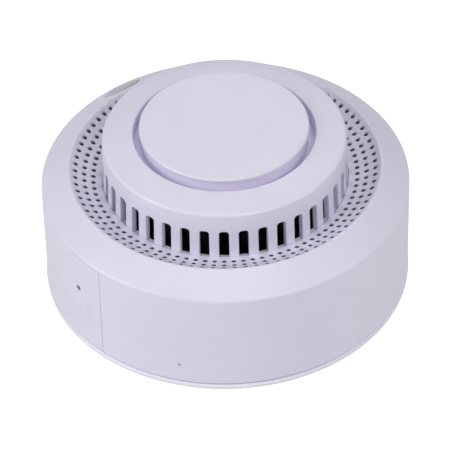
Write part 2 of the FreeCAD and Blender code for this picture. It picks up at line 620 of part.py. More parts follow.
def battery_cells():
    """Two cells lying side by side, pointing opposite ways."""
    cell = template_body("cell_template")
    spin(cell, "Cell", [
        ("0", "0"), ("[cell_radius] - [cell_bevel]", "0"), ("[cell_radius]", "[cell_bevel]"),
        ("[cell_radius]", "[cell_length] - [cell_bevel]"), ("[cell_radius] - [cell_bevel]", "[cell_length]"),
        ("[nub_radius]", "[cell_length]"), ("[nub_radius]", "[cell_length] + [nub_length]"),
        ("0", "[cell_length] + [nub_length]")])
    forward = Placement(Vector(size("cell_start"), -size("cell_side"), size("cell_height")),
                        Rotation(Vector(0, 1, 0), 90))
    back = Placement(Vector(size("cell_back"), size("cell_side"), size("cell_height")),
                     Rotation(Vector(0, 1, 0), -90))
    group("battery_cells", cell, [forward, back])


def coil(radius, wire, length, pitch):
    """A plain wound wire standing on z = 0."""
    helix = Part.makeHelix(pitch, length, radius)
    section = Part.Wire(Part.makeCircle(wire, Vector(radius, 0, 0), Vector(0, 1, 0)))
    return Part.Wire(helix).makePipeShell([section], True, True)


def battery_springs():
    """One sprung contact behind the flat end of each cell."""
    length = size("cell_spring_length")
    wire = size("cell_spring_wire")
    wound = coil(size("cell_spring_radius"), wire, length, size("cell_spring_pitch"))
    side, rise = size("cell_side"), size("cell_height")
    gap = wire + size("cell_clearance")
    along = Rotation(Vector(0, 1, 0), 90)
    inner = placed(wound, Placement(Vector(size("cell_start") - length - gap, -side, rise), along))
    outer = placed(wound, Placement(Vector(size("cell_back") + gap, side, rise), along))
    shape_node("battery_springs", Part.makeCompound([inner, outer]), turned())


def battery_plates():
    """A bridge plate at the drawer's front and two riveted plates at its back."""
    thick, half, side = size("plate_thickness"), size("plate_half"), size("cell_side")
    rise, back = size("cell_height"), size("tray_back") + size("tray_wall")
    gap, stud_length = size("contact_gap"), size("tray_wall") + size("stud_head")
    front = size("tray_front") - gap - thick
    bridge = Part.makeBox(thick, 2 * (side + half), 2 * half, Vector(front, -side - half, rise - half))
    solids = [bridge]
    for sign in (-1, 1):
        corner = Vector(back + gap, sign * side - half, rise - half)
        plate = Part.makeBox(thick, 2 * half, 2 * half, corner)
        stud = Part.makeCylinder(size("stud_radius"), stud_length, Vector(back + gap, sign * side, rise),
                                 Vector(-1, 0, 0))
        solids.append(plate.fuse(stud))
    shape_node("battery_plates", Part.makeCompound(solids), turned())


def bay_contacts():
    """Leaf springs hanging from the board in front of the bay's end wall; they bow towards the drawer."""
    leaf = template_body("leaf_template")
    thick = "[leaf_thickness]"
    line = [("[leaf_back]", "[board_bottom] - [contact_gap]"), ("[leaf_back]", "[leaf_bend_high]"),
            ("[leaf_bow]", "[bow_top]"), ("[leaf_bow]", "[bow_bottom]"),
            ("[leaf_tip]", "[leaf_bend_low]"), ("[leaf_tip]", "[leaf_bottom]")]
    ahead = [("%s + %s" % (x, thick), z) for x, z in line]
    sketch = outline(leaf, "Leaf_profile", XZ, ahead[::-1] + line)
    pad(leaf, "Leaf", sketch, "[leaf_half_width] * 2", Midplane=True)
    group("bay_contacts", leaf, [Placement(Vector(0, sign * size("cell_side"), 0), Rotation())
                                 for sign in (-1, 1)])


# ---------------------------------------------------------------- circuit board and its parts

def main_board():
    body = new_body("main_board", turned())
    sketch = circles(body, "Disc_sketch", XY, [("0", "0", "[board_radius]")], "[board_bottom]")
    pad(body, "Disc", sketch, "[board_thickness]")
    notches = [polar("screw_circle", angle) + ("[board_notch]",) for angle in BOSS_ANGLES]
    cut_through(body, "Notches", circles(body, "Notch_sketch", XY, notches))
    holes = [(str(x), str(y), "[board_hole]") for x, y in POST_PLACES]
    holes.append(("[port_offset]", "[siren_y]", "[port_radius]"))
    cut_through(body, "Holes", circles(body, "Hole_sketch", XY, holes))


def screw(name, head_radius, head_height, shank_radius, length):
    """A pan head screw standing on its head's underside at z = 0, shank down, with a cross recess."""
    body = template_body(name + "_template")
    spin(body, "Screw", [
        ("0", "-[%s]" % length), ("[%s] * 0.4" % shank_radius, "-[%s]" % length),
        ("[%s]" % shank_radius, "[screw_tip] - [%s]" % length), ("[%s]" % shank_radius, "0"),
        ("[%s]" % head_radius, "0"), ("[%s]" % head_radius, "[%s] * 0.6" % head_height),
        ("[%s] * 0.75" % head_radius, "[%s]" % head_height), ("0", "[%s]" % head_height)])
    for index, turn in enumerate((("0.55", "0.14"), ("0.14", "0.55"))):
        half_x, half_y = ["[%s] * %s" % (head_radius, part) for part in turn]
        sketch = rectangle(body, "Recess_%d" % index, XY, "-" + half_x, "-" + half_y, half_x, half_y,
                           "[%s] * 0.4" % head_height)
        cut(body, "Recess_cut_%d" % index, sketch, "[%s]" % head_height)
    return body


def housing_screws():
    body = screw("housing_screw", "housing_head", "housing_head_height", "housing_shank",
                 "housing_screw_length")
    height = size("cover_bottom") + size("cover_sink_depth") - size("seat_gap")
    group("housing_screws", body, heads_down("screw_circle", BOSS_ANGLES, height))


def board_screws():
    body = screw("board_screw", "board_head", "board_head_height", "board_shank", "board_screw_length")
    height = size("board_bottom") + size("board_thickness") + size("seat_gap")
    group("board_screws", body, [Placement(Vector(x, y, height), Rotation()) for x, y in POST_PLACES])


def led_board_screws():
    body = screw("led_screw", "led_head", "led_head_height", "led_shank", "led_screw_length")
    height = size("led_board_bottom") - size("seat_gap")
    group("led_board_screws", body, heads_down("cap_boss_circle", CAP_BOSS_ANGLES, height), Placement())


def heads_down(circle, angles, height):
    """Places on a circle for screws whose heads point down."""
    reach = size(circle)
    turns = [math.radians(angle) for angle in angles]
    return [Placement(Vector(reach * math.cos(turn), reach * math.sin(turn), height),
                      Rotation(Vector(1, 0, 0), 180)) for turn in turns]


def wireless_module():
    """A small carrier board with a shield can, hanging under the main board."""
    carrier_bottom = "[board_bottom] - [seat_gap] - [module_carrier]"
    carrier = box("Carrier", ("module_length", "module_width", "module_carrier"), MODULE_CORNER,
                  carrier_bottom)
    can = box("Shield_can", ("can_length", "can_width", "can_height"), CAN_CORNER,
              carrier_bottom + " - [can_height]")
    fused("wireless_module", [carrier, can], turned())


def microcontroller():
    body = new_body("microcontroller", turned())
    half, low = "[chip_side] / 2", "[board_bottom] - [seat_gap] - [chip_height]"
    sketch = rectangle(body, "Chip_sketch", XY, "-" + half, "[chip_y] - " + half, half,
                       "[chip_y] + " + half, low)
    pad(body, "Chip", sketch, "[chip_height]")
    spot = ("[pin_dot_reach]", "[chip_y] + [pin_dot_reach]", "[pin_dot_radius]")
    cut(body, "Pin_one_dot", circles(body, "Dot_sketch", XY, [spot], low), "[pin_dot_depth]")


def capacitor():
    body = new_body("capacitor", turned(centre=spot_at(*CAPACITOR_SPOT)))
    bottom, top = "[board_bottom] - [capacitor_height]", "[board_bottom] - [contact_gap]"
    spin(body, "Can", [
        ("0", bottom), ("[capacitor_radius] - [capacitor_bevel]", bottom),
        ("[capacitor_radius]", bottom + " + [capacitor_bevel]"),
        ("[capacitor_radius]", "[board_bottom] - [crimp_low]"),
        ("[capacitor_radius] - [crimp_depth]", "[board_bottom] - [crimp_middle]"),
        ("[capacitor_radius]", "[board_bottom] - [crimp_high]"),
        ("[capacitor_radius]", top), ("0", top)])


def inductor():
    body = new_body("inductor", turned(centre=spot_at(*INDUCTOR_SPOT)))
    bottom, top = "[board_bottom] - [inductor_height]", "[board_bottom] - [contact_gap]"
    waist = "[inductor_radius] - [inductor_flange]"
    spin(body, "Drum", [
        ("0", bottom), ("[inductor_radius]", bottom),
        ("[inductor_radius]", bottom + " + [inductor_flange]"), (waist, bottom + " + [inductor_waist]"),
        (waist, "[board_bottom] - [inductor_waist]"),
        ("[inductor_radius]", "[board_bottom] - [inductor_flange]"), ("[inductor_radius]", top),
        ("0", top)])


def status_led():
    body = new_body("status_led", turned(DRAWER_TURN + WINDOW_ANGLE))
    base = "[board_bottom] + [board_thickness] + [seat_gap]"
    sketch = rectangle(body, "Led_sketch", XY, "[status_led_start]", "-[status_led_half]",
                       "[status_led_start] + [status_led_length]", "[status_led_half]", base)
    pad(body, "Led", sketch, "[status_led_height]")


def indicator_lens():
    """The oval window follows the shoulder a little proud of it, with a light stem below."""
    body = new_body("indicator_lens", turned())
    oval = window_outline(body, "Oval_sketch", "0", "[window_depth] + [lens_lift]")
    pad(body, "Oval", oval, "[lens_blank]")
    slope = "(([dish_centre_height] - sqrt([dish_curve] ^ 2 - ([lip_radius] - [dish_centre_radius]) ^ 2)" \
            " - [crease_height]) / ([body_radius] - [lip_radius]))"
    inner, outer = "[lens_cut_inner]", "[lens_cut_outer]"
    for name, lift, far in (("Top", "[window_proud]", "[lens_cut_high]"),
                            ("Under", "[window_proud] - [window_plate]", "[lens_cut_low]")):
        line = [(reach, "[crease_height] + ([body_radius] - %s) * %s + %s" % (reach, slope, lift))
                for reach in (inner, outer)]
        spin(body, name, line + [(outer, far), (inner, far)], grows=False)
    x, y = polar("stem_reach", WINDOW_ANGLE)
    stem = circles(body, "Stem_sketch", XY, [(x, y, "[stem_radius]")], "[stem_bottom]")
    pad(body, "Stem", stem, "[stem_length]")


# ---------------------------------------------------------------- siren

def siren_place():
    return turned(centre=spot_at(size("siren_x"), size("siren_y")))


def siren_base():
    body = new_body("siren_base", siren_place())
    inner = "[siren_radius] - [siren_wall]"
    spin(body, "Cup", [
        ("0", "[siren_bottom]"), ("[siren_radius]", "[siren_bottom]"), ("[siren_radius]", "[siren_split]"),
        (inner, "[siren_split]"), (inner, "[siren_ledge]"), (inner + " - [siren_step]", "[siren_ledge]"),
        (inner + " - [siren_step]", "[siren_bottom] + [siren_wall]"),
        ("0", "[siren_bottom] + [siren_wall]")])


def siren_cover():
    body = new_body("siren_cover", siren_place())
    inner = "[siren_radius] - [siren_wall]"
    spin(body, "Lid", [
        (inner, "[siren_split] + [seat_gap]"), ("[siren_radius]", "[siren_split] + [seat_gap]"),
        ("[siren_radius]", "[siren_top] - [siren_bevel]"),
        ("[siren_radius] - [siren_bevel]", "[siren_top]"), ("0", "[siren_top]"),
        ("0", "[siren_top] - [siren_wall]"), (inner, "[siren_top] - [siren_wall]")])
    port = circles(body, "Port_sketch", XY, [("[port_offset] - [siren_x]", "0", "[siren_port]")])
    cut_through(body, "Port", port)


def disc(name, radius, low, high, place=None):
    body = new_body(name, place)
    spin(body, "Disc", [("0", low), (radius, low), (radius, high), ("0", high)])


def piezo_plate():
    top = "[siren_ledge] + [piezo_thickness]"
    disc("piezo_plate", "[piezo_radius]", "[siren_ledge]", top, siren_place())


def piezo_element():
    low = "[siren_ledge] + [piezo_thickness] + [glue_gap]"
    disc("piezo_element", "[ceramic_radius]", low, low + " + [ceramic_thickness]", siren_place())


def siren_pins():
    body = new_body("siren_pins", siren_place())
    low = "[siren_top] + [seat_gap]"
    spots = [("[pin_x]", side + "[pin_y]", "[pin_radius]") for side in ("-", "")]
    pins = circles(body, "Pin_sketch", XY, spots, low)
    pad(body, "Pins", pins, "[board_bottom] - [seat_gap] - (%s)" % low)


# ---------------------------------------------------------------- smoke chamber

def chamber_base():
    body = new_body("chamber_base", turned(CHAMBER_TURN))
    spin(body, "Dish", [
        ("0", "[chamber_bottom]"), ("[chamber_foot_radius]", "[chamber_bottom]"),
        ("[chamber_foot_radius]", "[chamber_plate_bottom]"),
        ("[chamber_plate_radius]", "[chamber_plate_bottom]"),
        ("[chamber_plate_radius]", "[chamber_rim_top]"), ("[chamber_rim_inner]", "[chamber_rim_top]"),
        ("[chamber_rim_inner]", "[chamber_plate_top]"), ("0", "[chamber_plate_top]")])
    block = rectangle(body, "Holder_sketch", XY, "[holder_start]", "-[holder_half]",
                      "[holder_start] + [holder_length]", "[holder_half]",
                      "[chamber_plate_top] - [overlap]")
    holder = pad(body, "Holder", block, "[holder_top] - [chamber_plate_top] + [overlap]")
    opening = ("0", "[optic_height]", "[optic_radius] + [optic_clearance]")
    bore_sketch = circles(body, "Bore_sketch", YZ, [opening])
    bore = cut(body, "Bore", bore_sketch, "[chamber_foot_radius]")
    around(body, "Holders", [holder, bore], 2, HOLDER_SPREAD)
    turn = CABLE_ANGLE - CHAMBER_TURN
    notch = sector(body, "Notch_sketch", "[chamber_rim_inner] - [cable_notch_root]",
                   "[chamber_plate_radius] + [beyond]", "%g - [cable_notch_half]" % turn,
                   "%g + [cable_notch_half]" % turn, "[chamber_bottom]")
    cut(body, "Cable_notch", notch, "[chamber_rim_top]")


def chamber_labyrinth():
    """A lid with slanted vanes below it, which let smoke in and keep light out."""
    body = new_body("chamber_labyrinth")
    spin(body, "Lid", [
        ("0", "[lid_bottom]"), ("[lid_radius]", "[lid_bottom]"),
        ("[lid_radius]", "[lid_top] - [lid_bevel]"), ("[lid_radius] - [lid_bevel]", "[lid_top]"),
        ("0", "[lid_top]")])
    cosine, sine = "cos([vane_slant] * 1 deg)", "sin([vane_slant] * 1 deg)"
    corners = []
    for along, across in ((0, -1), (1, -1), (1, 1), (0, 1)):
        length, side = "%d * [vane_length]" % along, "%d * [vane_half]" % across
        corners.append(("[vane_inner] + %s * %s - %s * %s" % (length, cosine, side, sine),
                        "%s * %s + %s * %s" % (length, sine, side, cosine)))
    sketch = outline(body, "Vane_sketch", XY, corners, "[chamber_plate_top] + [contact_gap]")
    vane = pad(body, "Vane", sketch, "[lid_bottom] - [chamber_plate_top]")
    around(body, "Vanes", [vane], VANE_COUNT)


def insect_screen():
    body = new_body("insect_screen")
    inner = "[screen_radius] - [screen_thickness]"
    spin(body, "Band", [(inner, "[screen_bottom]"), ("[screen_radius]", "[screen_bottom]"),
                        ("[screen_radius]", "[screen_top]"), (inner, "[screen_top]")])
    window = rectangle(body, "Mesh_sketch", XZ, "-[screen_half_gap]", "[screen_bottom] + [screen_border]",
                       "[screen_half_gap]", "[screen_top] - [screen_border]")
    gap = cut_through(body, "Mesh_gap", window, both=True)
    around(body, "Mesh_gaps", [gap], SCREEN_COUNT, 180.0 - 180.0 / SCREEN_COUNT)


def optic(name, turn, nose):
    """A round epoxy package lying in its holder with two leads behind it."""
    start, rise = size("optic_start") + nose, size("optic_height")
    across = Rotation(Vector(0, 1, 0), 90)
    barrel = primitive("Part::Cylinder", name + "_barrel", Radius="[optic_radius]",
                       Height="[optic_length]")
    barrel.Placement = Placement(Vector(start, 0, rise), across)
    dome = primitive("Part::Sphere", name + "_dome", Radius="[optic_radius]")
    dome.Placement = Placement(Vector(start, 0, rise), across)
    lead_start = start + size("optic_length") - size("lead_root")
    pieces = [barrel, dome]
    for side in (-1, 1):
        lead = primitive("Part::Cylinder", "%s_lead_%d" % (name, side + 1), Radius="[lead_radius]",
                         Height="[lead_length]")
        lead.Placement = Placement(Vector(lead_start, side * size("lead_side"), rise), across)
        pieces.append(lead)
    fused(name, pieces, turned(turn))


def infrared_led():
    optic("infrared_led", CHAMBER_TURN, LED_NOSE)


def photodiode():
    optic("photodiode", CHAMBER_TURN + HOLDER_SPREAD, DIODE_NOSE)


# ---------------------------------------------------------------- cap, light ring and button

def cap_height(reach, drop="0"):
    return ("[cap_edge_height] + ([cap_opening_height] - [cap_edge_height])"
            " * ([cap_edge_radius] - (%s)) / ([cap_edge_radius] - [cap_opening]) - %s" % (reach, drop))


def sensor_cap():
    body = new_body("sensor_cap")
    inner, collar = "[cap_radius] - [cap_wall]", "[cap_opening] + [collar_wall]"
    inner_top = "[cap_edge_radius] - [cap_wall]"
    spin(body, "Shell", [
        (inner, "[cap_bottom]"), ("[cap_flange_radius]", "[cap_bottom]"),
        ("[cap_flange_radius]", "[cap_flange_top]"), ("[cap_radius]", "[cap_flange_top]"),
        ("[cap_edge_radius]", "[cap_edge_height]"), ("[cap_opening]", "[cap_opening_height]"),
        ("[cap_opening]", "[collar_bottom]"), (collar, "[collar_bottom]"),
        (collar, cap_height(collar, "[cap_wall]")), (inner_top, cap_height(inner_top, "[cap_wall]"))])
    round_circles(body, "Edge", [("[cap_edge_radius]", "[cap_edge_height]")], "[cap_edge_round]")
    round_circles(body, "Opening_edge", [("[cap_opening]", "[cap_opening_height]")], "[collar_round]")
    half = "[vent_half_width]"
    corners = [("-" + half, "[vent_bottom]"), (half, "[vent_bottom]"),
               (half, "[vent_top] - [vent_round]", "-[vent_round]"),
               (half + " - [vent_round]", "[vent_top]"),
               ("[vent_round] - " + half, "[vent_top]", "-[vent_round]"),
               ("-" + half, "[vent_top] - [vent_round]")]
    vent = cut_through(body, "Vent", outline(body, "Vent_sketch", XZ, corners), both=True)
    pairs = VENT_COUNT // 2
    around(body, "Vents", [vent], pairs, 180.0 - 180.0 / pairs)
    spots = [polar("cap_boss_circle", angle) for angle in CAP_BOSS_ANGLES]
    sketch = circles(body, "Boss_sketch", XY, [(x, y, "[cap_boss_radius]") for x, y in spots],
                     "[cap_boss_bottom]")
    pad(body, "Bosses", sketch, "[cap_boss_top] - [cap_boss_bottom]")
    sketch = circles(body, "Boss_hole_sketch", XY, [(x, y, "[cap_boss_hole]") for x, y in spots],
                     "[cap_boss_bottom]")
    cut(body, "Boss_holes", sketch, "[cap_boss_hole_depth]")


def light_ring():
    body = new_body("light_ring")
    spin(body, "Ring", [
        ("[ring_inner]", "[ring_bottom]"), ("[ring_flange]", "[ring_bottom]"),
        ("[ring_flange]", "[ring_flange_top]"), ("[ring_outer]", "[ring_flange_top]"),
        ("[ring_outer]", "[ring_top]"), ("[ring_inner]", "[ring_top]")])


def button_disc():
    body = new_body("button_disc")
    spin(body, "Disc", [
        ("0", "[disc_boss_bottom]"), ("[disc_boss]", "[disc_boss_bottom]"),
        ("[disc_boss]", "[disc_plate_bottom]"),
        ("[plug_inner]", "[disc_plate_bottom]"), ("[plug_inner]", "[plug_bottom]"),
        ("[plug_outer]", "[plug_bottom]"), ("[plug_outer]", "[disc_rim_bottom]"),
        ("[disc_radius]", "[disc_rim_bottom]"), ("[disc_radius]", "[disc_top]"), ("0", "[disc_top]")])
    round_circles(body, "Rim", [("[disc_radius]", "[disc_top]")], "[disc_round]")


def led_board():
    body = new_body("led_board")
    sketch = circles(body, "Disc_sketch", XY, [("0", "0", "[led_board_radius]")], "[led_board_bottom]")
    pad(body, "Disc", sketch, "[led_board_thickness]")
    spots = [polar("cap_boss_circle", angle) + ("[cap_boss_hole] + [hole_clearance]",)
             for angle in CAP_BOSS_ANGLES]
    cut_through(body, "Holes", circles(body, "Hole_sketch", XY, spots))


def ring_leds():
    """Surface-mounted lamps in a circle under the light ring."""
    lamp = template_body("lamp_template")
    half = "[ring_led_width] / 2"
    sketch = rectangle(lamp, "Lamp_sketch", XY, "[ring_led_circle] - " + half, "-[ring_led_length] / 2",
                       "[ring_led_circle] + " + half, "[ring_led_length] / 2",
                       "[led_board_bottom] + [led_board_thickness] + [seat_gap]")
    pad(lamp, "Lamp", sketch, "[ring_led_height]")
    turns = [360.0 * index / RING_LED_COUNT + RING_LED_TURN for index in range(RING_LED_COUNT)]
    group("ring_leds", lamp, [turned(turn) for turn in turns], Placement())


def switch_body():
    body = new_body("switch_body")
    base = "[led_board_bottom] + [led_board_thickness] + [seat_gap]"
    sketch = rectangle(body, "Case_sketch", XY, "-[switch_half]", "-[switch_half]", "[switch_half]",
                       "[switch_half]", base)
    pad(body, "Case", sketch, "[switch_height]")
    sketch = circles(body, "Bore_sketch", XY, [("0", "0", "[switch_bore]")],
                     base + " + [switch_height] - [switch_bore_depth]")
    cut(body, "Bore", sketch, "[switch_bore_depth] + [beyond]")


def switch_plunger():
    body = new_body("switch_plunger")
    spin(body, "Plunger", [
        ("0", "[plunger_bottom]"), ("[plunger_radius]", "[plunger_bottom]"),
        ("[plunger_radius]", "[plunger_top] - [plunger_bevel]"),
        ("[plunger_radius] - [plunger_bevel]", "[plunger_top]"),
        ("0", "[plunger_top]")])


def button_spring():
    bottom = size("spring_bottom")
    wound = coil(size("spring_radius"), size("spring_wire"), size("spring_top") - bottom,
                 size("spring_pitch"))
    shape_node("button_spring", wound, Placement(Vector(0, 0, bottom), Rotation()))


def led_cable():
    body = new_body("led_cable", turned(CABLE_ANGLE))
    sketch = rectangle(body, "Ribbon_sketch", XY, "[cable_reach]", "-[cable_half_width]",
                       "[cable_reach] + [cable_thickness]", "[cable_half_width]",
                       "[board_bottom] + [board_thickness] + [seat_gap]")
    pad(body, "Ribbon", sketch,
        "[led_board_bottom] - [board_bottom] - [board_thickness] - 2 * [seat_gap]")


# ---------------------------------------------------------------- build, check and write

BUILDERS = (
    mounting_bracket, rear_cover, housing_screws, outer_housing, battery_drawer, battery_cells,
    battery_springs, battery_plates, bay_contacts, main_board, board_screws, wireless_module,
    microcontroller, capacitor, inductor, status_led, indicator_lens, siren_base, siren_cover, piezo_plate,
    piezo_element, siren_pins, chamber_base, chamber_labyrinth, insect_screen, infrared_led, photodiode,
    sensor_cap, light_ring, button_disc, led_board, led_board_screws, ring_leds, switch_body,
    switch_plunger, button_spring, led_cable)

for build in BUILDERS:
    build()
doc.recompute()

for item in doc.Objects:
    if "Invalid" in item.State or "Error" in item.State:
        raise RuntimeError("%s failed: %s" % (item.Label, item.State))
for part in subparts:
    if part.Shape.isNull() or not part.Shape.isValid() or not part.Shape.Solids:
        raise RuntimeError("%s has no valid solid" % part.Label)

os.makedirs("parts", exist_ok=True)
for part in subparts:
    part.Shape.exportStep("parts/%s.step" % part.Label)
    print("%-20s %d solids, %.1f mm3" % (part.Label, len(part.Shape.Solids), part.Shape.Volume))
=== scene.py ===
"""Looks of a ceiling smoke detector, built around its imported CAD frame. Lengths are millimetres until MM."""
import json
import math

import bmesh
import bpy
from mathutils import Matrix, Vector


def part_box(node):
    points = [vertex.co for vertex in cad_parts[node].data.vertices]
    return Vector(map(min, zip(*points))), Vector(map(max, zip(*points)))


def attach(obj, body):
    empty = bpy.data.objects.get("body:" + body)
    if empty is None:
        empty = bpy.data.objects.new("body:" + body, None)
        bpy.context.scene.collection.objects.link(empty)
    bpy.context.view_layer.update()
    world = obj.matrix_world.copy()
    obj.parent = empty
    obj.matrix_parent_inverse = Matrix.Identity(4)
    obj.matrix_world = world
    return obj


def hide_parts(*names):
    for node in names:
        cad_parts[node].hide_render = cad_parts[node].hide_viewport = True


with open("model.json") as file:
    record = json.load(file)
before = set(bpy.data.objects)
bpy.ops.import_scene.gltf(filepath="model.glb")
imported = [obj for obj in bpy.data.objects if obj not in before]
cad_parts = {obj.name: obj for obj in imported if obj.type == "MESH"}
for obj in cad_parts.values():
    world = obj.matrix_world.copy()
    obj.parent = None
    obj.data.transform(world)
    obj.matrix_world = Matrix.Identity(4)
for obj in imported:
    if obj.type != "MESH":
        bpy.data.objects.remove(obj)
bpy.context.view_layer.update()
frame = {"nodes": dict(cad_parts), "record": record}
MM = 0.001


def corners_of(node):
    """Lowest and highest corner of a CAD node, in millimetres."""
    return [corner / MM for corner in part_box(node)]


housing_low = corners_of("outer_housing")[0]
cap_low, cap_high = corners_of("sensor_cap")
disc_low, disc_high = corners_of("button_disc")
ring_low, ring_high = corners_of("light_ring")
bracket_high = corners_of("mounting_bracket")[1]

# Outer housing: side wall, sloped shoulder, and the dished ring of sound holes
FOOT_R = 50.4
CREASE_R, CREASE_Z, CREASE_ROUND = 50.0, 31.8, 1.1
HOUSING_Z = housing_low.z
CHAMFER = 0.4
WALL = 2.0
FOOT_INSET = 0.2              # leaves an open slit this wide between the two outlines at the foot
LIP_R, LIP_ROUND, INNER_LIP_R = 42.35, 0.7, 42.1
DISH_MID_R, DISH_MID_Z, DISH_CURVE, DISH_WALL = 30.1, 51.4, 19.3, 1.6
DISH_EDGE_R = 33.55
INNER_CREASE_Z = 30.7
HOLE_R, HOLE_BEVEL = 0.65, 0.1
HOLE_ROWS = (40.7, 38.3, 35.85)
ROW_EDGES = (41.75, 39.5, 37.07, 34.65)
COLUMN = 4                    # degrees between hole columns
STEP = 0.5                    # degrees between the housing's edges
BOSS_TURNS = (162, 282, 42)   # housing screws
MARK_TURN, MARK_Z, MARK_R, MARK_DEPTH = -104, 8.2, 0.45, 0.2
BOSS_R, BOSS_HOLE_R, BOSS_CIRCLE, BOSS_Z = 3.5, 1.2, 43.0, (7.05, 33.3)

# Battery drawer
DOOR_TURN, DOOR_HALF, FRONT_HALF = -150, 19, 18.825
FRONT_TOP, FRONT_INNER = 31.1, 48.15

# Sensor cap
CAP_R, CAP_WALL, FLANGE_R, FLANGE_Z = 33.5, 1.6, cap_high.x, 30.7
CAP_EDGE_R, CAP_EDGE_Z, CAP_EDGE_ROUND = 32.8, 46.1, 0.8
OPENING_R, OPENING_ROUND, COLLAR_WALL, COLLAR_Z = 24.5, 0.35, 1.7, 44.0
VENTS, VENT_HALF, VENT_Z, VENT_ROUND, VENT_BEVEL = 40, 1.34, (31.6, 40.7), 0.9, 0.1
VENT_PANEL = (31.0, 42.2)     # the band of the wall that the vents are cut in
VENT_STEPS = 8
CAP_BOSS_TURNS, CAP_BOSS_CIRCLE = (60, 180, 300), 28.9
CAP_BOSS_R, CAP_BOSS_HOLE_R, CAP_BOSS_Z = 2.2, 0.75, (41.05, 45.6)

# Button and light ring
DISC_ROUND = 0.55
DISC_BOSS_R, DISC_PLATE_Z, DISC_RIM_Z = 2.5, 48.3, 48.8
PLUG_INNER_R, PLUG_OUTER_R, PLUG_Z = 19.4, 20.75, 46.5
RING_INNER_R, RING_OUTER_R, RING_FLANGE_Z = 20.8, 22.3, 43.6
SMALL_ROUND = 0.2

# Mounting bracket
BRACKET_PLATE, BRACKET_FLOOR, BRACKET_RIM_R, BRACKET_CHAMFER = 1.8, 1.6, 46.5, 0.5
SLOT_R, SLOT_TRAVEL, SLOT_WIDE, SLOT_NARROW = 2.2, 5, 60, 44
HOOK_TURNS, HOOK_HALF = (20, 140, 260), 7
HOOK_INNER_R, HOOK_NECK_R, HOOK_OUTER_R, HOOK_LIP_Z = 39, 41, 44, 3.5
HOOK_ROOT = 0.3               # how far a hook is sunk into the plate
BRACKET_BEVEL = 0.12

FRONT_TURN = -90
SHARP = 38                    # degrees; edges that turn by more than this are drawn hard
TINY = 1e-6

# Floor: metres
FLOOR_REACH, FLOOR_DROP = 3.0, 5e-5

# Studio: metres and watts
WORLD_STRENGTH = 0.1
FLOOR_GLOW, FLOOR_SEEN = 0.46, 0.6
SOFT_LIGHTS = (("top", (0, -0.1, 1.2), 0.9, 3.1), ("front", (0, -0.85, 0.85), 0.9, 1.1),
               ("front_right", (0.45, -0.8, 0.9), 0.6, 3.3), ("left", (-1.0, -0.4, 0.6), 0.8, 7.0),
               ("right", (1.0, -0.3, 0.7), 0.8, 2.7), ("back", (0.2, 0.9, 0.8), 0.9, 2.1))

# Camera
CAM_ELEVATION, CAM_AZIMUTH, CAM_ROLL = 42.0, 1.35, 1.5
CAM_DISTANCE, CAM_TARGET_Z, CAM_LENS = 669.0, 13.03, 193.2
CAM_AIM = (0.0036, -0.0028)         # where the target falls, from the picture's middle, in picture widths


# ------------------------------------------------------------------ mesh kit

class Skin:
    """Collects faces by the places of their corners and turns them into one piece."""

    def __init__(self):
        self.places, self.numbers, self.faces = [], {}, []

    def corner(self, place):
        key = tuple(round(value * 1e4) for value in place)
        if key not in self.numbers:
            self.numbers[key] = len(self.places)
            self.places.append([value * MM for value in place])
        return self.numbers[key]

    def face(self, *places):
        corners = list(dict.fromkeys(self.corner(place) for place in places))
        if len(corners) > 2:
            self.faces.append(corners)

    def strip(self, one, other, closed=False):
        """Quads between two rows of places."""
        for i in range(len(one) - (not closed)):
            j = (i + 1) % len(one)
            self.face(one[i], one[j], other[j], other[i])

    def disc(self, row):
        """Close a ring of places."""
        middle = [sum(place[k] for place in row) / len(row) for k in range(3)]
        for i, place in enumerate(row):
            self.face(place, row[(i + 1) % len(row)], middle)

    def lathe(self, outline, turns, skip=lambda turn, a, b: False):
        """Revolve an outline of (reach, z) through a list of turns, leaving out what skip() says."""
        for start, end in zip(turns, turns[1:]):
            for a, b in zip(outline, outline[1:]):
                if not skip((start + end) / 2, a, b):
                    self.face(polar(start, *a), polar(end, *a), polar(end, *b), polar(start, *b))

    def tube(self, x, y, z_range, outer, inner, sides=32):
        """A ring-shaped post."""
        outline = [(outer, z_range[0]), (outer, z_range[1]), (inner, z_range[1]), (inner, z_range[0])]

        def spot(turn, point):
            turn = math.radians(turn)
            return (x + point[0] * math.cos(turn), y + point[0] * math.sin(turn), point[1])
        for i in range(sides):
            start, end = 360 * i / sides, 360 * (i + 1) / sides
            for a, b in zip(outline, outline[1:] + outline[:1]):
                self.face(spot(start, a), spot(end, a), spot(end, b), spot(start, b))

    def build(self, name, material, body, nodes=(), sharp=SHARP):
        mesh = bpy.data.meshes.new(name)
        mesh.from_pydata(self.places, [], self.faces)
        piece = bpy.data.objects.new(name, mesh)
        bpy.context.scene.collection.objects.link(piece)
        mesh.materials.append(material)
        shade(piece, sharp)
        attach(piece, body)
        if nodes:
            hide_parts(*nodes)
        return piece


def shade(piece, sharp):
    """Smooth shading with hard edges where faces meet at more than sharp degrees."""
    work = bmesh.new()
    work.from_mesh(piece.data)
    bmesh.ops.recalc_face_normals(work, faces=work.faces)
    for face in work.faces:
        face.smooth = True
    for edge in work.edges:
        edge.smooth = len(edge.link_faces) == 2 and edge.calc_face_angle() < math.radians(sharp)
    work.to_mesh(piece.data)
    work.free()


def polar(turn, reach, z):
    """A place from its turn about Z in degrees, reach and height."""
    return (reach * math.cos(math.radians(turn)), reach * math.sin(math.radians(turn)), z)


def turns_between(start, end, step):
    return [start + step * i for i in range(round((end - start) / step) + 1)]


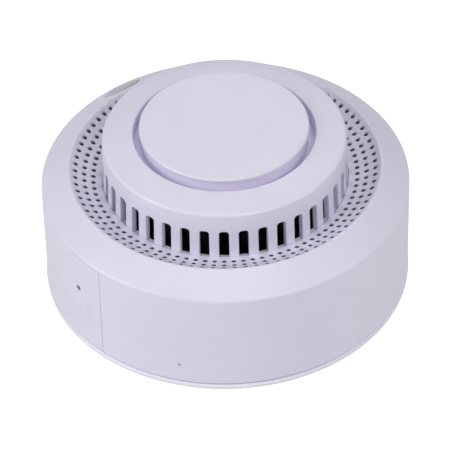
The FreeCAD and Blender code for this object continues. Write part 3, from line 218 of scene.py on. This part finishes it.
def rounded(points, segments=6):
    """An open outline of (reach, z) or (reach, z, radius) corners, with each radius drawn as an arc."""
    result = []
    for i, point in enumerate(points):
        if len(point) == 2:
            result.append(point)
            continue
        here = Vector(point[:2])
        before = (Vector(points[i - 1][:2]) - here).normalized()
        after = (Vector(points[i + 1][:2]) - here).normalized()
        half = before.angle(after) / 2
        centre = here + (before + after).normalized() * point[2] / math.sin(half)
        start = here + before * point[2] / math.tan(half) - centre
        end = here + after * point[2] / math.tan(half) - centre
        first, sweep = math.atan2(start.y, start.x), math.atan2(start.cross(end), start.dot(end))
        for k in range(segments + 1):
            turn = first + sweep * k / segments
            result.append((centre.x + point[2] * math.cos(turn), centre.y + point[2] * math.sin(turn)))
    return result


def mixed(a, b, share):
    return tuple(p + (q - p) * share for p, q in zip(a, b))


def frame_border(u_values, v_values):
    """Grid points around a rectangular panel: along the bottom, up, back along the top and down."""
    bottom = [(u, v_values[0]) for u in u_values[:-1]]
    right = [(u_values[-1], v) for v in v_values[:-1]]
    top = [(u, v_values[-1]) for u in u_values[:0:-1]]
    left = [(u_values[0], v) for v in v_values[:0:-1]]
    return bottom + right + top + left


def pierced(skin, border, hole, lift, bevel, depth):
    """A panel with a hole through it, its rim rounded on the outer face.

    border lists panel points, hole(grow, down) lists as many points of the hole's edge grown by a margin
    at a depth, and lift(point, down) gives the place of a panel point at a depth below the outer face."""
    edge = hole(bevel, 0)
    rows = [[lift(mixed(a, b, share), 0) for a, b in zip(border, edge)] for share in (0, 0.4, 0.75, 1)]
    for turn in (30, 60, 90):
        grow = bevel * (1 - math.sin(math.radians(turn)))
        down = bevel * (1 - math.cos(math.radians(turn)))
        rows.append([lift(point, down) for point in hole(grow, down)])
    under = hole(0, depth)
    rows += [[lift(mixed(a, b, share), depth) for a, b in zip(border, under)] for share in (1, 0.75, 0.4, 0)]
    for one, other in zip(rows, rows[1:]):
        skin.strip(one, other, closed=True)


def round_hole(border, centre, radius, plan):
    """The hole() of a round hole whose edge points lie towards the border's points.

    plan is a pair of functions that put a panel point into flat millimetres and back."""
    to_flat, to_panel = plan
    middle = to_flat(centre)
    ways = [math.atan2(y - middle[1], x - middle[0]) for x, y in map(to_flat, border)]
    return lambda grow, down: [to_panel((middle[0] + (radius + grow) * math.cos(way),
                                         middle[1] + (radius + grow) * math.sin(way))) for way in ways]


def carve(piece, outline, low, high, place=None, sharp=SHARP):
    """Cut a prism with the given (x, y) outline out of a piece."""
    cutter = Skin()
    bottom, top = [(x, y, low) for x, y in outline], [(x, y, high) for x, y in outline]
    cutter.strip(bottom, top, closed=True)
    cutter.disc(bottom)
    cutter.disc(top)
    mesh = bpy.data.meshes.new("cutter")
    mesh.from_pydata(cutter.places, [], cutter.faces)
    tool = bpy.data.objects.new("cutter", mesh)
    bpy.context.scene.collection.objects.link(tool)
    shade(tool, sharp)
    if place is not None:
        mesh.transform(place)
    cut = piece.modifiers.new("carve", "BOOLEAN")
    cut.operation, cut.solver, cut.object = "DIFFERENCE", "EXACT", tool
    settle(piece)
    bpy.data.objects.remove(tool)
    shade(piece, sharp)


def settle(piece):
    """Apply a piece's modifiers to its mesh."""
    bpy.context.view_layer.update()
    solid = bpy.data.meshes.new_from_object(piece.evaluated_get(bpy.context.evaluated_depsgraph_get()))
    piece.modifiers.clear()
    piece.data = solid


def soften(piece, width, segments=3, limit=35):
    """Round the hard edges of a piece."""
    bevel = piece.modifiers.new("soft_edges", "BEVEL")
    bevel.width, bevel.segments, bevel.angle_limit = width * MM, segments, math.radians(limit)
    bevel.limit_method = "ANGLE"
    bevel.harden_normals = True
    settle(piece)


def circle(radius, sides=32, x=0.0, y=0.0):
    return [(x + radius * math.cos(math.tau * i / sides), y + radius * math.sin(math.tau * i / sides))
            for i in range(sides)]


# ------------------------------------------------------------------ materials

def linear(*colour):
    """Screen colour values from 0 to 255 as the linear colour that nodes use."""
    return [(value / 255 / 12.92 if value <= 10 else ((value / 255 + 0.055) / 1.055) ** 2.4)
            for value in colour] + [1.0]


class Nodes:
    """A short way to write a node material."""

    def __init__(self, name):
        self.material = bpy.data.materials.new(name)
        self.material.use_nodes = True
        self.tree = self.material.node_tree
        self.shader = self.tree.nodes["Principled BSDF"]
        self.place = self.add("ShaderNodeTexCoord").outputs["Object"]

    def add(self, kind, inputs=(), **settings):
        node = self.tree.nodes.new(kind)
        for key, value in settings.items():
            setattr(node, key, value)
        for key, value in dict(inputs).items():
            self.feed(node.inputs[key], value)
        return node

    def feed(self, socket, value):
        if isinstance(value, bpy.types.NodeSocket):
            self.tree.links.new(value, socket)
        else:
            socket.default_value = value

    def set(self, **inputs):
        for key, value in inputs.items():
            self.feed(self.shader.inputs[key.replace("_", " ")], value)
        return self

    def noise(self, grain, detail=3.0):
        """A noise whose features are about grain millimetres wide."""
        return self.add("ShaderNodeTexNoise", {"Vector": self.place, "Scale": 1 / (grain * MM),
                                               "Detail": detail}).outputs["Fac"]

    def between(self, share, low, high):
        """share mapped from 0.3..0.7 to low..high."""
        spread = self.add("ShaderNodeMapRange", {"Value": share, "From Min": 0.3, "From Max": 0.7,
                                                 "To Min": low, "To Max": high})
        return spread.outputs["Result"]

    def blend(self, share, one, other):
        mix = self.add("ShaderNodeMix", data_type="RGBA")
        self.feed(mix.inputs[0], share)
        self.feed(mix.inputs[6], one)
        self.feed(mix.inputs[7], other)
        return mix.outputs[2]

    def bump(self, height, strength, distance):
        return self.add("ShaderNodeBump", {"Height": height, "Strength": strength,
                                           "Distance": distance * MM}).outputs["Normal"]


def moulded(name, colour, roughness=0.42, grain=0.16, relief=0.012, spread=0.03, crevice_shade=None):
    """Moulded plastic: fine spark-eroded grain, slow changes of gloss and a trace of colour drift.

    The last argument is painted shade: a dark colour that an ambient occlusion mask blends in inside narrow
    holes, slots and gaps."""
    nodes = Nodes(name)
    drift = nodes.noise(14.0, 2.0)
    darker = [value * (1 - spread) for value in colour[:3]] + [1.0]
    shown = nodes.blend(nodes.between(drift, 0, 1), darker, colour)
    # painted shade: where ambient occlusion finds nearby surfaces, the colour is blended towards the shade
    # colour
    if crevice_shade:
        open_air = nodes.add("ShaderNodeAmbientOcclusion", {"Distance": SHADE_REACH * MM}, samples=8,
                             only_local=True).outputs["AO"]
        share = nodes.add("ShaderNodeMapRange",
                          {"Value": open_air, "From Min": SHADE_FROM, "From Max": SHADE_TO})
        shown = nodes.blend(share.outputs["Result"], crevice_shade, shown)
    nodes.set(Base_Color=shown,
              Roughness=nodes.between(nodes.noise(5.0), roughness - 0.04, roughness + 0.05),
              Normal=nodes.bump(nodes.noise(grain), 0.35, relief))
    return nodes.material


def metal(name, colour, roughness=0.3, grain=0.3):
    """Rolled or plated metal with a faint mottled finish."""
    nodes = Nodes(name)
    nodes.set(Base_Color=colour, Metallic=1.0,
              Roughness=nodes.between(nodes.noise(grain * 6), roughness - 0.06, roughness + 0.08),
              Normal=nodes.bump(nodes.noise(grain), 0.25, 0.01))
    return nodes.material


SHELL = linear(230, 226, 244)
# painted shade for holes, slots and gaps of the shell, with the occlusion reach in millimetres and the
# occlusion range that blends it in
CREVICE_SHADE = linear(70, 64, 86)
SHADE_REACH, SHADE_FROM, SHADE_TO = 2.0, 0.25, 0.6
materials = {
    "shell_white": moulded("shell_white", SHELL, roughness=0.33, crevice_shade=CREVICE_SHADE),
    "bracket_white": moulded("bracket_white", linear(238, 235, 248), roughness=0.5),
    "window_grey": moulded("window_grey", linear(196, 192, 206), roughness=0.3, grain=0.4),
    "light_guide": moulded("light_guide", linear(240, 234, 255), roughness=0.35),
    "chamber_black": moulded("chamber_black", linear(12, 12, 13), roughness=0.6),
    "screen_black": moulded("screen_black", linear(8, 8, 8), roughness=0.6),
    "board_green": moulded("board_green", linear(28, 84, 52), roughness=0.4, grain=0.5),
    "board_white": moulded("board_white", linear(224, 226, 222), roughness=0.4, grain=0.5),
    "chip_black": moulded("chip_black", linear(24, 24, 26), roughness=0.5),
    "shield_steel": metal("shield_steel", linear(196, 196, 198), 0.32),
    "screw_steel": metal("screw_steel", linear(176, 176, 180), 0.28),
    "spring_steel": metal("spring_steel", linear(190, 190, 192), 0.22),
    "contact_nickel": metal("contact_nickel", linear(206, 202, 192), 0.25),
    "cell_wrap": moulded("cell_wrap", linear(58, 86, 132), roughness=0.3),
    "capacitor_sleeve": moulded("capacitor_sleeve", linear(30, 34, 60), roughness=0.35),
    "ferrite": moulded("ferrite", linear(52, 52, 56), roughness=0.7),
    "siren_black": moulded("siren_black", linear(20, 20, 22), roughness=0.45),
    "piezo_brass": metal("piezo_brass", linear(206, 172, 96), 0.3),
    "piezo_ceramic": moulded("piezo_ceramic", linear(222, 218, 204), roughness=0.5),
    "led_clear": moulded("led_clear", linear(226, 230, 234), roughness=0.15),
    "led_dark": moulded("led_dark", linear(30, 20, 34), roughness=0.2),
    "cable_black": moulded("cable_black", linear(26, 26, 28), roughness=0.55),
    "switch_black": moulded("switch_black", linear(22, 22, 24), roughness=0.45),
    "plunger_white": moulded("plunger_white", linear(226, 226, 226), roughness=0.4),
}


def dress_nodes():
    """Every CAD node takes the material of its slot in the record."""
    for part in frame["record"]["subparts"]:
        node = frame["nodes"][part["node"]]
        node.data.materials.clear()
        node.data.materials.append(materials[part["material_slot"]])


dress_nodes()


# ------------------------------------------------------------------ outer housing

def dish_z(reach):
    return DISH_MID_Z - math.sqrt(DISH_CURVE ** 2 - (reach - DISH_MID_R) ** 2)


def under_dish_z(reach):
    return DISH_MID_Z - math.sqrt((DISH_CURVE + DISH_WALL) ** 2 - (reach - DISH_MID_R) ** 2)


def wall_reach(z):
    """The side wall leans in a little from its foot to the crease."""
    foot = HOUSING_Z + CHAMFER
    return FOOT_R + (CREASE_R - FOOT_R) * (z - foot) / (CREASE_Z - foot)


def housing_outlines():
    """The outer outline from the inner foot up to the hole rows, and the inner one from there back down."""
    lip = (LIP_R, dish_z(LIP_R), LIP_ROUND)
    crease = (CREASE_R, CREASE_Z, CREASE_ROUND)
    outer = rounded([(FOOT_R - WALL - FOOT_INSET, HOUSING_Z), (FOOT_R - CHAMFER, HOUSING_Z),
                     (FOOT_R, HOUSING_Z + CHAMFER), crease, lip, (ROW_EDGES[0], dish_z(ROW_EDGES[0]))], 8)
    inner_lip = (INNER_LIP_R, under_dish_z(INNER_LIP_R))
    inner_crease = (CREASE_R - WALL, INNER_CREASE_Z)
    cut_z = next(z for _, z in outer if z > HOUSING_Z + CHAMFER + TINY)
    share = (inner_lip[1] - cut_z) / (inner_lip[1] - inner_crease[1])
    inner = [(ROW_EDGES[0], under_dish_z(ROW_EDGES[0])), inner_lip, mixed(inner_lip, inner_crease, share),
             inner_crease, (CREASE_R - WALL, HOUSING_Z)]
    return outer, inner, cut_z


def outer_housing():
    skin = Skin()
    outer, inner, cut_z = housing_outlines()
    turns = turns_between(0, 360, STEP)
    door = (DOOR_TURN - DOOR_HALF, DOOR_TURN + DOOR_HALF)

    def below_door(turn, a, b):
        return abs((turn - DOOR_TURN + 180) % 360 - 180) < DOOR_HALF and max(a[1], b[1]) <= cut_z + TINY
    skin.lathe(outer, turns, below_door)
    skin.lathe(inner, turns, below_door)
    section = [p for p in inner if p[1] <= cut_z + TINY] + [p for p in outer[1:] if p[1] <= cut_z + TINY]
    for turn in door:
        skin.face(*[polar(turn, *point) for point in section])
    top = [next(p for p in side if abs(p[1] - cut_z) < TINY) for side in (outer, inner)]
    skin.lathe(top, turns_between(door[0], door[1], STEP))
    edge = [(ROW_EDGES[-1], dish_z(ROW_EDGES[-1])), (DISH_EDGE_R, dish_z(DISH_EDGE_R)),
            (DISH_EDGE_R, under_dish_z(DISH_EDGE_R)), (ROW_EDGES[-1], under_dish_z(ROW_EDGES[-1]))]
    skin.lathe(edge, turns)
    for column in range(0, 360, COLUMN):
        for row, reach in enumerate(HOLE_ROWS):
            sound_hole(skin, column, reach, ROW_EDGES[row + 1], ROW_EDGES[row])
    for turn in BOSS_TURNS:
        x, y, _ = polar(turn, BOSS_CIRCLE, 0)
        skin.tube(x, y, BOSS_Z, BOSS_R, BOSS_HOLE_R)
    return skin.build("housing_shell", materials["shell_white"], "detector", ["outer_housing"])


def sound_hole(skin, column, reach, inner_edge, outer_edge):
    """One cell of the pierced dish; the hole runs straight down through it."""
    spans = [inner_edge + (outer_edge - inner_edge) * i / 4 for i in range(5)]
    border = frame_border(turns_between(0, COLUMN, STEP), spans)
    flat = (lambda p: polar(p[0], p[1], 0)[:2],
            lambda q: (math.degrees(math.atan2(q[1], q[0])), math.hypot(*q)))
    hole = round_hole(border, (COLUMN / 2, reach), HOLE_R, flat)

    def lift(point, down):
        top, bottom = dish_z(point[1]), under_dish_z(point[1])
        return polar(column + point[0], point[1], top + (bottom - top) * down / DISH_WALL)
    pierced(skin, border, hole, lift, HOLE_BEVEL, DISH_WALL)


housing = outer_housing()


def weld(piece, *tools):
    """Join closed pieces into one skin."""
    for tool in tools:
        joint = piece.modifiers.new("weld", "BOOLEAN")
        joint.operation, joint.solver, joint.object = "UNION", "EXACT", tool
        settle(piece)
        bpy.data.objects.remove(tool)
    shade(piece, SHARP)


def loose(skin, name):
    """A closed skin that is about to be welded to another."""
    mesh = bpy.data.meshes.new(name)
    mesh.from_pydata(skin.places, [], skin.faces)
    tool = bpy.data.objects.new(name, mesh)
    bpy.context.scene.collection.objects.link(tool)
    shade(tool, SHARP)
    return tool


def sector(outline, start, end, step=1.0):
    """A closed outline swept through part of a turn, with flat ends."""
    skin = Skin()
    loop = outline + outline[:1]
    skin.lathe(loop, turns_between(start, end, step))
    for turn in (start, end):
        skin.face(*[polar(turn, *point) for point in outline])
    return skin


def cuboid(low, high):
    skin = Skin()
    base = [(low[0], low[1]), (high[0], low[1]), (high[0], high[1]), (low[0], high[1])]
    bottom, top = [(x, y, low[2]) for x, y in base], [(x, y, high[2]) for x, y in base]
    skin.strip(bottom, top, closed=True)
    skin.face(*bottom)
    skin.face(*top)
    return skin


def about_z(turn):
    return Matrix.Rotation(math.radians(turn), 4, "Z")


# ------------------------------------------------------------------ battery drawer

TRAY_LOW, TRAY_HIGH = (-6.6, -13.4, 7.25), (48.6, 13.4, 18.9)
TROUGH_LOW, TROUGH_HIGH = (-5.1, -11.9, 8.45), (45.3, 11.9, 20.0)
DIVIDER_LOW, DIVIDER_HIGH = (-5.5, -0.5, 8.2), (44.3, 0.5, 10.45)
RIB_STARTS = [-2.5 + 4 * i for i in range(5)]
RIB_ARC, RIB_Z, RIB_PROUD = 0.8, (11.5, 16.5), 0.2
RIB_END_SOFT, RIB_SIDE_SOFT = 0.6, 0.35     # millimetres up, degrees round
FRONT_STEPS, FRONT_RISE, FRONT_EDGE = 220, 0.5, 0.3
TRAY_ROUND = 0.3
PIN_R, PIN_SIDE, PIN_Z = 0.85, 7.8, 20.0


def smooth(share):
    share = min(max(share, 0.0), 1.0)
    return share * share * (3 - 2 * share)


def rib_height(turn, z):
    """Soft-edged finger ribs standing on the drawer's front."""
    ends = smooth((z - RIB_Z[0]) / RIB_END_SOFT) * smooth((RIB_Z[1] - z) / RIB_END_SOFT)
    across = max(smooth((RIB_ARC / 2 - abs(turn - start - RIB_ARC / 2)) / RIB_SIDE_SOFT)
                 for start in RIB_STARTS)
    return RIB_PROUD * across * ends


def drawer_front():
    skin = Skin()
    turns = [FRONT_HALF * (2 * i / FRONT_STEPS - 1) for i in range(FRONT_STEPS + 1)]
    foot = HOUSING_Z + CHAMFER
    rises = round((FRONT_TOP - FRONT_EDGE - foot) / FRONT_RISE)
    heights = [foot + FRONT_RISE * i for i in range(rises + 1)]
    face = [[polar(turn, wall_reach(z) + rib_height(turn, z), z) for turn in turns] for z in heights]
    top = [polar(turn, CREASE_R, FRONT_TOP) for turn in turns]
    back_top = [polar(turn, FRONT_INNER, FRONT_TOP) for turn in turns]
    back_foot = [polar(turn, FRONT_INNER, HOUSING_Z) for turn in turns]
    bottom = [polar(turn, FOOT_R - CHAMFER, HOUSING_Z) for turn in turns]
    rows = [bottom] + face + [top, back_top, back_foot]
    for one, other in zip(rows, rows[1:] + rows[:1]):
        skin.strip(one, other)
    for end in (0, -1):
        skin.face(*[row[end] for row in rows])
    return loose(skin, "drawer_front")


def battery_drawer():
    front = drawer_front()
    tray = loose(cuboid(TRAY_LOW, TRAY_HIGH), "tray")
    (back, right), (front_end, left) = TROUGH_LOW[:2], TROUGH_HIGH[:2]
    trough = [(back, right), (front_end, right), (front_end, left), (back, left)]
    carve(tray, trough, TROUGH_LOW[2], TROUGH_HIGH[2])
    weld(tray, loose(cuboid(DIVIDER_LOW, DIVIDER_HIGH), "divider"))
    soften(tray, TRAY_ROUND)
    weld(front, tray)
    along_x = Matrix.Translation((0, PIN_SIDE * MM, PIN_Z * MM)) @ Matrix.Rotation(math.pi / 2, 4, "Y")
    carve(front, circle(PIN_R), TROUGH_HIGH[0], FOOT_R + 2, along_x)
    front.data.transform(about_z(DOOR_TURN))
    front.name = "drawer_shell"
    front.data.materials.clear()
    front.data.materials.append(materials["shell_white"])
    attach(front, "battery_drawer")
    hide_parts("battery_drawer")


battery_drawer()


# ------------------------------------------------------------------ indicator window

LENS_TURN, LENS_CENTRE, LENS_LONG, LENS_SHORT, LENS_GAP = 130, 45.6, 6.0, 2.7, 0.08
LENS_PROUD, LENS_THICK, LENS_ROUND = 0.35, 1.6, 0.22
RECESS_Z, ABOVE_Z = 29.9, 45.0
STEM_REACH, STEM_R, STEM_Z = 44.7, 1.4, (26.6, 34.0)
OVAL_SIDES = 28


def oval(grow):
    """Two arcs meeting in points, the long way across; (x, y) about the body's axis before it is turned."""
    long_half, short_half = LENS_LONG + grow, LENS_SHORT + grow
    curve = (long_half ** 2 + short_half ** 2) / (2 * short_half)
    half_turn = math.asin(long_half / curve)
    points = []
    for side in (1, -1):
        for i in range(OVAL_SIDES):
            turn = half_turn * (1 - 2 * i / OVAL_SIDES) * side
            away = curve * math.cos(turn) + short_half - curve
            points.append((LENS_CENTRE + side * away, curve * math.sin(turn)))
    return points


def shoulder_z(reach):
    return CREASE_Z + (dish_z(LIP_R) - CREASE_Z) * (CREASE_R - reach) / (CREASE_R - LIP_R)


def indicator_lens():
    skin = Skin()
    rows = []
    for turn in (90, 60, 30, 0):
        inset = LENS_ROUND * (1 - math.cos(math.radians(turn)))
        rise = LENS_ROUND * math.sin(math.radians(turn))
        lift = LENS_PROUD - LENS_ROUND + rise
        rows.append([(x, y, shoulder_z(math.hypot(x, y)) + lift) for x, y in oval(-inset)])
    under = [(x, y, shoulder_z(math.hypot(x, y)) + LENS_PROUD - LENS_THICK) for x, y in oval(0)]
    rows.append(under)
    for one, other in zip(rows, rows[1:]):
        skin.strip(one, other, closed=True)
    for row, lift in ((rows[0], LENS_PROUD), (under, LENS_PROUD - LENS_THICK)):
        half = len(row) // 2
        middle = [mixed(row[i], row[-i % len(row)], 0.5) for i in range(half + 1)]
        middle = [(x, y, shoulder_z(math.hypot(x, y)) + lift) for x, y, _ in middle]
        skin.strip(row[:half + 1], middle)
        skin.strip([row[-i % len(row)] for i in range(half + 1)], middle)
    lens = loose(skin, "indicator_window")
    stem = Skin()
    ends = [[(x, y, z) for x, y in circle(STEM_R, 32, STEM_REACH)] for z in STEM_Z]
    stem.strip(*ends, closed=True)
    stem.disc(ends[0])
    stem.disc(ends[1])
    weld(lens, loose(stem, "stem"))
    lens.data.transform(about_z(LENS_TURN))
    lens.data.materials.clear()
    lens.data.materials.append(materials["window_grey"])
    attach(lens, "detector")
    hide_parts("indicator_lens")


carve(housing, oval(LENS_GAP), RECESS_Z, ABOVE_Z, about_z(LENS_TURN))
carve(housing, circle(MARK_R), wall_reach(MARK_Z) - MARK_DEPTH, FOOT_R + 1,
      about_z(MARK_TURN) @ Matrix.Translation((0, 0, MARK_Z * MM)) @ Matrix.Rotation(math.pi / 2, 4, "Y"))
indicator_lens()


# ------------------------------------------------------------------ sensor cap

def cap_top_z(reach):
    return CAP_EDGE_Z + (cap_high.z - CAP_EDGE_Z) * (CAP_EDGE_R - reach) / (CAP_EDGE_R - OPENING_R)


def cap_reach(z):
    """The cap's wall leans in from its flange to its upper edge."""
    return CAP_R + (CAP_EDGE_R - CAP_R) * (z - FLANGE_Z) / (CAP_EDGE_Z - FLANGE_Z)


def vent_edge(grow, down):
    """Edge of one vent: flat foot, straight sides and round upper corners."""
    half, low, top, bend = VENT_HALF + grow, VENT_Z[0] - grow, VENT_Z[1] + grow, VENT_ROUND + grow
    foot = [(half * (2 * i / 9 - 1), low) for i in range(9)]
    side = [(half, low + (top - bend - low) * i / 5) for i in range(5)]

    def corner(start):
        return [(half - bend + bend * math.cos(math.radians(start + 15 * i)),
                 top - bend + bend * math.sin(math.radians(start + 15 * i))) for i in range(3)]
    right = foot + side + corner(0)
    crown = corner(45) + [((half - bend) * (1 - 2 * i / 3), top) for i in range(3)]
    far = [(-half + bend - bend * math.cos(math.radians(90 - 15 * i)),
            top - bend + bend * math.sin(math.radians(90 - 15 * i))) for i in range(6)]
    down_side = [(-half, top - bend + (low - top + bend) * i / 5) for i in range(5)]
    points = right + crown + far + down_side
    return [(math.degrees(math.asin(x / (CAP_R - down))), z) for x, z in points]


def sensor_cap():
    skin = Skin()
    pitch = 360 / VENTS
    turns = turns_between(pitch / 2, 360 + pitch / 2, 1)
    inner, inner_top, collar = CAP_R - CAP_WALL, CAP_EDGE_R - CAP_WALL, OPENING_R + COLLAR_WALL
    low, high = VENT_PANEL
    foot = rounded([
        (cap_reach(low) - CAP_WALL, low), (inner, cap_low.z), (FLANGE_R, cap_low.z), (FLANGE_R, FLANGE_Z),
        (CAP_R, FLANGE_Z), (cap_reach(low), low)])
    upper = rounded([
        (cap_reach(high), high), (CAP_EDGE_R, CAP_EDGE_Z, CAP_EDGE_ROUND),
        (OPENING_R, cap_high.z, OPENING_ROUND), (OPENING_R, COLLAR_Z, 0.2), (collar, COLLAR_Z, 0.2),
        (collar, cap_top_z(collar) - CAP_WALL), (inner_top, cap_top_z(inner_top) - CAP_WALL),
        (cap_reach(high) - CAP_WALL, high)], 8)
    skin.lathe(foot, turns)
    skin.lathe(upper, turns)
    rise = (VENT_PANEL[1] - VENT_PANEL[0]) / VENT_STEPS
    heights = [VENT_PANEL[0] + rise * i for i in range(VENT_STEPS + 1)]
    border = frame_border(turns_between(-pitch / 2, pitch / 2, 1), heights)
    for vent in range(VENTS):
        middle = FRONT_TURN + vent * pitch
        pierced(skin, border, vent_edge,
                lambda p, down: polar(middle + p[0], cap_reach(p[1]) - down, p[1]), VENT_BEVEL, CAP_WALL)
    for turn in CAP_BOSS_TURNS:
        x, y, _ = polar(turn, CAP_BOSS_CIRCLE, 0)
        skin.tube(x, y, CAP_BOSS_Z, CAP_BOSS_R, CAP_BOSS_HOLE_R)
    skin.build("cap_shell", materials["shell_white"], "detector", ["sensor_cap"])


sensor_cap()


# ------------------------------------------------------------------ button and light ring

def revolved(name, outline, material, body, node):
    skin = Skin()
    skin.lathe(outline, turns_between(0, 360, 1))
    return skin.build(name, materials[material], body, [node])


DISC_OUTLINE = rounded([
    (0, disc_low.z), (DISC_BOSS_R, disc_low.z), (DISC_BOSS_R, DISC_PLATE_Z), (PLUG_INNER_R, DISC_PLATE_Z),
    (PLUG_INNER_R, PLUG_Z), (PLUG_OUTER_R, PLUG_Z), (PLUG_OUTER_R, DISC_RIM_Z, 0.1),
    (disc_high.x, DISC_RIM_Z, SMALL_ROUND), (disc_high.x, disc_high.z, DISC_ROUND), (16, disc_high.z),
    (8, disc_high.z), (0, disc_high.z)], 8)
RING_OUTLINE = rounded([
    (RING_INNER_R, ring_low.z), (ring_high.x, ring_low.z), (ring_high.x, RING_FLANGE_Z),
    (RING_OUTER_R, RING_FLANGE_Z, 0.3), (RING_OUTER_R, ring_high.z, SMALL_ROUND),
    (RING_INNER_R, ring_high.z, SMALL_ROUND), (RING_INNER_R, ring_low.z)], 5)
revolved("button_cover", DISC_OUTLINE, "shell_white", "test_button", "button_disc")
revolved("glow_ring", RING_OUTLINE, "light_guide", "test_button", "light_ring")


# ------------------------------------------------------------------ mounting bracket

def stadium(x, y, long_x, long_y, radius, sides=16):
    """A slot outline about (x, y), longer along one of the two directions."""
    points = []
    for way, side in ((0, 1), (180, -1)):
        for i in range(sides + 1):
            turn = math.radians(way - 90 + 180 * i / sides) + (math.pi / 2 if long_y else 0)
            points.append((x + side * long_x / 2 + radius * math.cos(turn),
                           y + side * long_y / 2 + radius * math.sin(turn)))
    return points


def mounting_bracket():
    rim, plate, chamfer = bracket_high.x, BRACKET_PLATE, BRACKET_CHAMFER
    skin = Skin()
    skin.lathe([(0, 0), (rim - chamfer, 0), (rim, chamfer), (rim, plate - chamfer), (rim - chamfer, plate),
                (BRACKET_RIM_R, plate), (BRACKET_RIM_R, BRACKET_FLOOR), (0, BRACKET_FLOOR)],
               turns_between(0, 360, 1))
    plate_piece = loose(skin, "ceiling_plate")
    wide, narrow = SLOT_WIDE / 2, SLOT_NARROW / 2
    for x, y, long_x, long_y in ((wide, 0, SLOT_TRAVEL, 0), (-wide, 0, SLOT_TRAVEL, 0),
                                 (0, narrow, 0, SLOT_TRAVEL), (0, -narrow, 0, SLOT_TRAVEL)):
        carve(plate_piece, stadium(x, y, long_x, long_y, SLOT_R), -1, 3)
    root, top = BRACKET_FLOOR - HOOK_ROOT, bracket_high.z
    hook = [(HOOK_INNER_R, root), (HOOK_NECK_R, root), (HOOK_NECK_R, HOOK_LIP_Z), (HOOK_OUTER_R, HOOK_LIP_Z),
            (HOOK_OUTER_R, top), (HOOK_INNER_R, top)]
    for turn in HOOK_TURNS:
        weld(plate_piece, loose(sector(hook, turn - HOOK_HALF, turn + HOOK_HALF), "hook"))
    soften(plate_piece, BRACKET_BEVEL)
    plate_piece.data.materials.clear()
    plate_piece.data.materials.append(materials["bracket_white"])
    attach(plate_piece, "mounting_bracket")
    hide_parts("mounting_bracket")


mounting_bracket()


# ------------------------------------------------------------------ floor, light and camera

def floor():
    mesh = bpy.data.meshes.new("floor")
    sides = ((-1, -1), (1, -1), (1, 1), (-1, 1))
    corners = [(x * FLOOR_REACH, y * FLOOR_REACH, -FLOOR_DROP) for x, y in sides]
    mesh.from_pydata(corners, [], [(0, 1, 2, 3)])
    sheet = bpy.data.objects.new("floor", mesh)
    bpy.context.scene.collection.objects.link(sheet)
    nodes = Nodes("studio_floor")
    seen = nodes.add("ShaderNodeLightPath").outputs["Is Camera Ray"]
    glow = nodes.add("ShaderNodeMath", {0: seen, 1: FLOOR_SEEN, 2: FLOOR_GLOW}, operation="MULTIPLY_ADD")
    nodes.set(Base_Color=linear(150, 150, 150), Roughness=0.9, Emission_Color=(1, 1, 1, 1),
              Emission_Strength=glow.outputs[0])
    mesh.materials.append(nodes.material)


def soft_light(name, place, size, power):
    lamp = bpy.data.lights.new(name, "AREA")
    lamp.shape, lamp.size, lamp.energy = "DISK", size, power
    holder = bpy.data.objects.new(name, lamp)
    holder.location = place
    holder.rotation_euler = (Vector((0, 0, 0.02)) - Vector(place)).to_track_quat("-Z", "Y").to_euler()
    bpy.context.scene.collection.objects.link(holder)


def studio():
    world = bpy.data.worlds.new("studio")
    bpy.context.scene.world = world
    world.use_nodes = True
    background = world.node_tree.nodes["Background"]
    background.inputs["Color"].default_value = (1, 1, 1, 1)
    background.inputs["Strength"].default_value = WORLD_STRENGTH
    for name, place, size, power in SOFT_LIGHTS:
        soft_light(name, place, size, power)
    bpy.context.scene.view_settings.view_transform = "Standard"


def camera():
    elevation, azimuth = math.radians(CAM_ELEVATION), math.radians(CAM_AZIMUTH)
    back = Vector((math.sin(azimuth) * math.cos(elevation), -math.cos(azimuth) * math.cos(elevation),
                   math.sin(elevation)))
    lens = bpy.data.cameras.new("camera")
    lens.lens, lens.sensor_width, lens.clip_start = CAM_LENS, 36.0, 0.01
    eye = bpy.data.objects.new("camera", lens)
    place = Matrix.Translation(Vector((0, 0, CAM_TARGET_Z * MM)) + back * CAM_DISTANCE * MM)
    facing = (-back).to_track_quat("-Z", "Y").to_matrix().to_4x4()
    roll = Matrix.Rotation(math.radians(-CAM_ROLL), 4, "Z")
    aim = Vector((CAM_AIM[0], CAM_AIM[1], -CAM_LENS / lens.sensor_width))
    swing = Vector((0, 0, -1)).rotation_difference(aim).to_matrix().to_4x4()
    eye.matrix_world = place @ facing @ roll @ swing.inverted()
    bpy.context.scene.collection.objects.link(eye)
    bpy.context.scene.camera = eye


floor()
studio()
camera()
